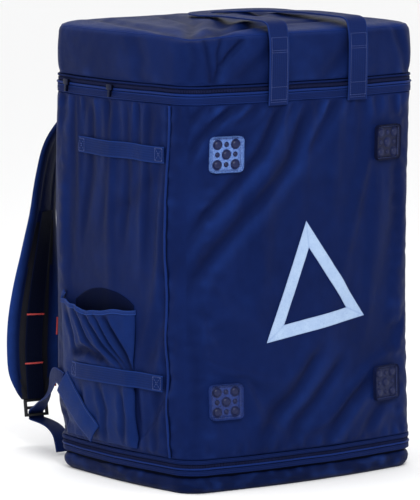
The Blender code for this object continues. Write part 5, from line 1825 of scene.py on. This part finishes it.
# %% Wings and anchor webbing
LOW, HIGH = Vector((DEPTH * 0.084, 0.064)), Vector((DEPTH * 0.330, 0.130))
run_way = (HIGH - LOW).normalized()
square_way = Vector((-run_way.y, run_way.x))
for side, name in ((-1, "left"), (1, "right")):
    panel = name
    spine, widths, steps = [], [], 30
    for step in range(steps + 1):
        share = step / steps
        y, z = LOW.lerp(HIGH, share)
        tall = max(over(TREES[panel], panel, y + square_way.x * edge, z + square_way.y * edge, 0.004)
                   for edge in (-0.016, 0.0, 0.016))
        ahead = at(panel, y + run_way.x * 0.01, z + run_way.y * 0.01) - at(panel, y, z)
        outward = (at(panel, y, z, 0.01) - at(panel, y, z)).normalized()
        spine.append([at(panel, y, z, tall + 0.0018), outward.cross(ahead).normalized()])
        widths.append(0.040 * (0.80 + 0.20 * share))
    for _ in range(4):
        middle = [s[0].copy() for s in spine]
        for index in range(1, steps):
            spine[index][0] = (middle[index - 1] + middle[index] * 2 + middle[index + 1]) / 4
    wing = ribbon(f"wing_cloth_{name}", [tuple(s) for s in spine], widths, 0.0020, cloth_wing, "navy_cloth",
                  (f"wing_{name}",), columns=14, crown=0.0022)
    # The wing is painted paler all over, as painted highlight and wear.
    mark(wing, "wear_and_highlight", [0.3] * len(wing.data.vertices))
    frames = []
    wing_tree = tree_of(wing)
    outward = Vector((side, 0, 0))
    for edge in (-0.44, 0.44):
        starts = [spine[index][0] + spine[index][1] * (edge * widths[index]) + outward * 0.03
                  for index in range(0, steps + 1, 2)]
        frames += stitch_line(dropped(wing_tree, starts, -outward), outward, 0.0040)
    sewn(f"wing_stitches_{name}", frames)
    line = strap_line(side, 12)
    middle, across, face_way, _ = line[-1]
    down = (middle - line[-2][0]).normalized()
    lock_top = middle + down * 0.0003
    bar, slot, lock_thick = 0.0042, 0.0066, 0.0044
    slot_level, bar_level = bar * 2 + slot * 1.45, bar * 2.5 + slot * 2
    clear = lock_thick / 2 + 0.0018 + 0.0003
    slot_point = lock_top + down * slot_level
    approach = slot_point + face_way * clear * 3.2 - down * bar * 0.8
    upright = Vector((0, -run_way.y, run_way.x))
    tip = spine[-1][0] + Vector((0, run_way.x, run_way.y)) * 0.001
    corner = (run_of("right", FLAT_Y / 2) + ARC * 0.32 if side > 0
              else run_of("back", FLAT_X / 2) + ARC * 0.68)
    rounding = skin(corner, 0.1318, 0.0047)
    way = station(corner)[3]
    leaning = Vector((side * way.y * run_way.y, -side * way.x * run_way.y, run_way.x))
    path = [(tip, upright), (rounding, leaning)]
    for share, twist in ((0.34, 0.10), (0.70, 0.60)):
        path.append((rounding.lerp(approach, share) + Vector((0, 0, -0.004)), leaning.lerp(across, twist)))
    path.append((approach, across))
    for level, through in ((slot_level, 0.0), (slot_level + slot * 0.25, -clear),
                           (bar_level, -clear * 1.35),
                           (bar_level + bar * 0.5 + clear * 0.55, -clear * 0.8),
                           (bar_level + bar * 0.5 + clear * 0.85, 0.0)):
        path.append((lock_top + down * level + face_way * through, across))
    end = path[-1][0]
    for outwards, forwards, below in ((0.00, 0.22, 0.02), (0.04, 0.46, 0.05), (0.09, 0.66, 0.12),
                                      (0.12, 0.76, 0.24), (0.13, 0.80, 0.33)):
        path.append((end + Vector((side * outwards, -forwards, -below)) * 0.110, across))
    points = smoothed([p for p, _ in path], 6)
    acrosses = smoothed([a.normalized() for _, a in path], 6)
    ribbon(f"anchor_web_{name}", list(zip(points, acrosses)), 0.0225, 0.0016, web_anchor, "navy_webbing",
           (f"anchor_webbing_{name}",), columns=8)
    tail_way = (points[-1] - points[-3]).normalized()
    fold_face = tail_way.cross(acrosses[-1]).normalized()
    ribbon(f"anchor_fold_{name}", [(points[-1] - tail_way * (0.016 - 0.002 * step) + fold_face * 0.0016,
                                    acrosses[-1]) for step in range(9)], 0.0225, 0.0014, web_anchor,
           "navy_webbing", columns=6)

# %% [markdown]
# Locks, sliders and the yoke keep the CAD shape. A CAD node is loose triangles, so a
# copy is merged, its flat faces are joined again and its edges are rounded a little.


# %% Locks, sliders and yoke from the CAD nodes
slider_metal_paint = Paint("slider_metal")
vector = slider_metal_paint.spot()[0]
scuff = slider_metal_paint.speckle(500.0, 3.0, 0.6, vector)
slider_metal = slider_metal_paint.finish(
    slider_metal_paint.blend(scuff, rgb(16, 20, 44), rgb(44, 52, 84)),
    (scuff * 0.25 + 0.28).kept(), slider_metal_paint.bump(scuff, 0.0001, strength=0.5), Metallic=1.0)


def recut(node, name, rounding, finish, slot_name, shorten_below=-1.0):
    """Merged copy of a CAD node with slightly rounded edges."""
    deselect()
    piece = bpy.data.objects.new(name, bpy.data.objects[node].data.copy())
    piece.data.name = name
    bpy.context.collection.objects.link(piece)
    only(piece)
    bpy.ops.object.mode_set(mode="EDIT")
    bpy.ops.mesh.select_all(action="SELECT")
    bpy.ops.mesh.remove_doubles(threshold=0.00002)
    bpy.ops.mesh.dissolve_limited(angle_limit=math.radians(3))
    bpy.ops.object.mode_set(mode="OBJECT")
    for vertex in piece.data.vertices:
        vertex.co.z += max(0.0, shorten_below - vertex.co.z) * 0.62
    modify(piece, "BEVEL", width=rounding, segments=3, limit_method="ANGLE", angle_limit=math.radians(35))
    piece.data.materials.clear()
    return dress(piece, finish, slot_name, node, angle=40)


for name in ("left", "right"):
    recut(f"ladder_lock_{name}", f"ladder_lock_moulded_{name}", 0.0007, black_plastic, "black_plastic")
recut("zip_slider_side", "zip_slider_cast_side", 0.0005, slider_metal, "slider_metal", 0.556)
recut("zip_slider_back", "zip_slider_cast_back", 0.0005, slider_metal, "slider_metal", 0.556)
yoke = recut("yoke", "yoke_cloth", 0.0007, cloth_wing, "navy_cloth")
yoke_tree = tree_of(yoke)
frames = []
for level in (0.5095, 0.5125, 0.5375, 0.5405):
    starts = [Vector((-0.158 + 0.316 * step / 59, 0.30, level)) for step in range(60)]
    frames += stitch_line(dropped(yoke_tree, starts, Vector((0, -1, 0))), Vector((0, 1, 0)))
sewn("yoke_stitches", frames)
bpy.data.objects.remove(stitch, do_unlink=True)

# %% [markdown]
# The stage is a plain pale floor under a white sky, with one soft lamp at the front
# left and two weak ones, at the left and above the back. The camera stands at the
# photograph's angle.

# %% Floor, light and camera
deselect()
bpy.ops.mesh.primitive_circle_add(vertices=96, radius=40, fill_type="NGON", location=(0, 0, -0.0004))
floor = started("floor")
floor_paint = Paint("pale_floor")
floor.data.materials.append(floor_paint.finish(
    floor_paint.blend(floor_paint.speckle(3.0), (0.93, 0.93, 0.935, 1), (0.95, 0.95, 0.95, 1)), None, None,
    Roughness=0.9, Specular_IOR_Level=0.1))
floor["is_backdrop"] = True

world = bpy.data.worlds.new("studio")
bpy.context.scene.world = world
world.use_nodes = True
world.node_tree.nodes["Background"].inputs[0].default_value = (1.0, 1.0, 1.0, 1)
world.node_tree.nodes["Background"].inputs[1].default_value = 1.0


def lamp(name, place, aim, size, power, colour=(1, 1, 1)):
    """Square soft lamp that looks at a point."""
    deselect()
    bpy.ops.object.light_add(type="AREA", location=place)
    light = bpy.context.object
    light.name = name
    light.data.size = size
    light.data.energy = power
    light.data.color = colour
    light.rotation_mode = "QUATERNION"
    light.rotation_quaternion = (Vector(aim) - Vector(place)).to_track_quat("-Z", "Y")
    light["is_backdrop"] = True


lamp("key", (-1.00, -1.90, 1.55), (-0.10, -0.10, 0.36), 0.55, 34)
lamp("left", (-2.20, 0.20, 1.50), (-0.20, 0.0, 0.40), 0.7, 10)
lamp("top", (0.1, 0.6, 2.4), (0.0, 0.0, 0.6), 0.8, 10)

AZIMUTH, ELEVATION, AWAY = math.radians(-37.5), math.radians(7.17), 6.0
AIM_RIGHT, AIM_HIGH, FOCAL_PIXELS, PICTURE_PIXELS, SENSOR = -0.0345, 0.3125, 4165, 500, 36
back_way = Vector((math.sin(AZIMUTH) * math.cos(ELEVATION), -math.cos(AZIMUTH) * math.cos(ELEVATION),
                   math.sin(ELEVATION)))
right_way = Vector((math.cos(AZIMUTH), math.sin(AZIMUTH), 0))
deselect()
bpy.ops.object.camera_add(location=right_way * AIM_RIGHT + Vector((0, 0, AIM_HIGH)) + back_way * AWAY)
camera = bpy.context.object
camera.rotation_mode = "QUATERNION"
camera.rotation_quaternion = back_way.to_track_quat("Z", "Y")
camera.data.sensor_width = SENSOR
camera.data.lens = FOCAL_PIXELS / PICTURE_PIXELS * SENSOR
camera.data.clip_end = 200
bpy.context.scene.camera = camera
bpy.context.scene.view_settings.view_transform = "Standard"
print("camera at", [round(c, 3) for c in camera.location])

# %% Print the visual box
low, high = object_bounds()
print("visual box", [round(x, 3) for x in low], [round(x, 3) for x in high])
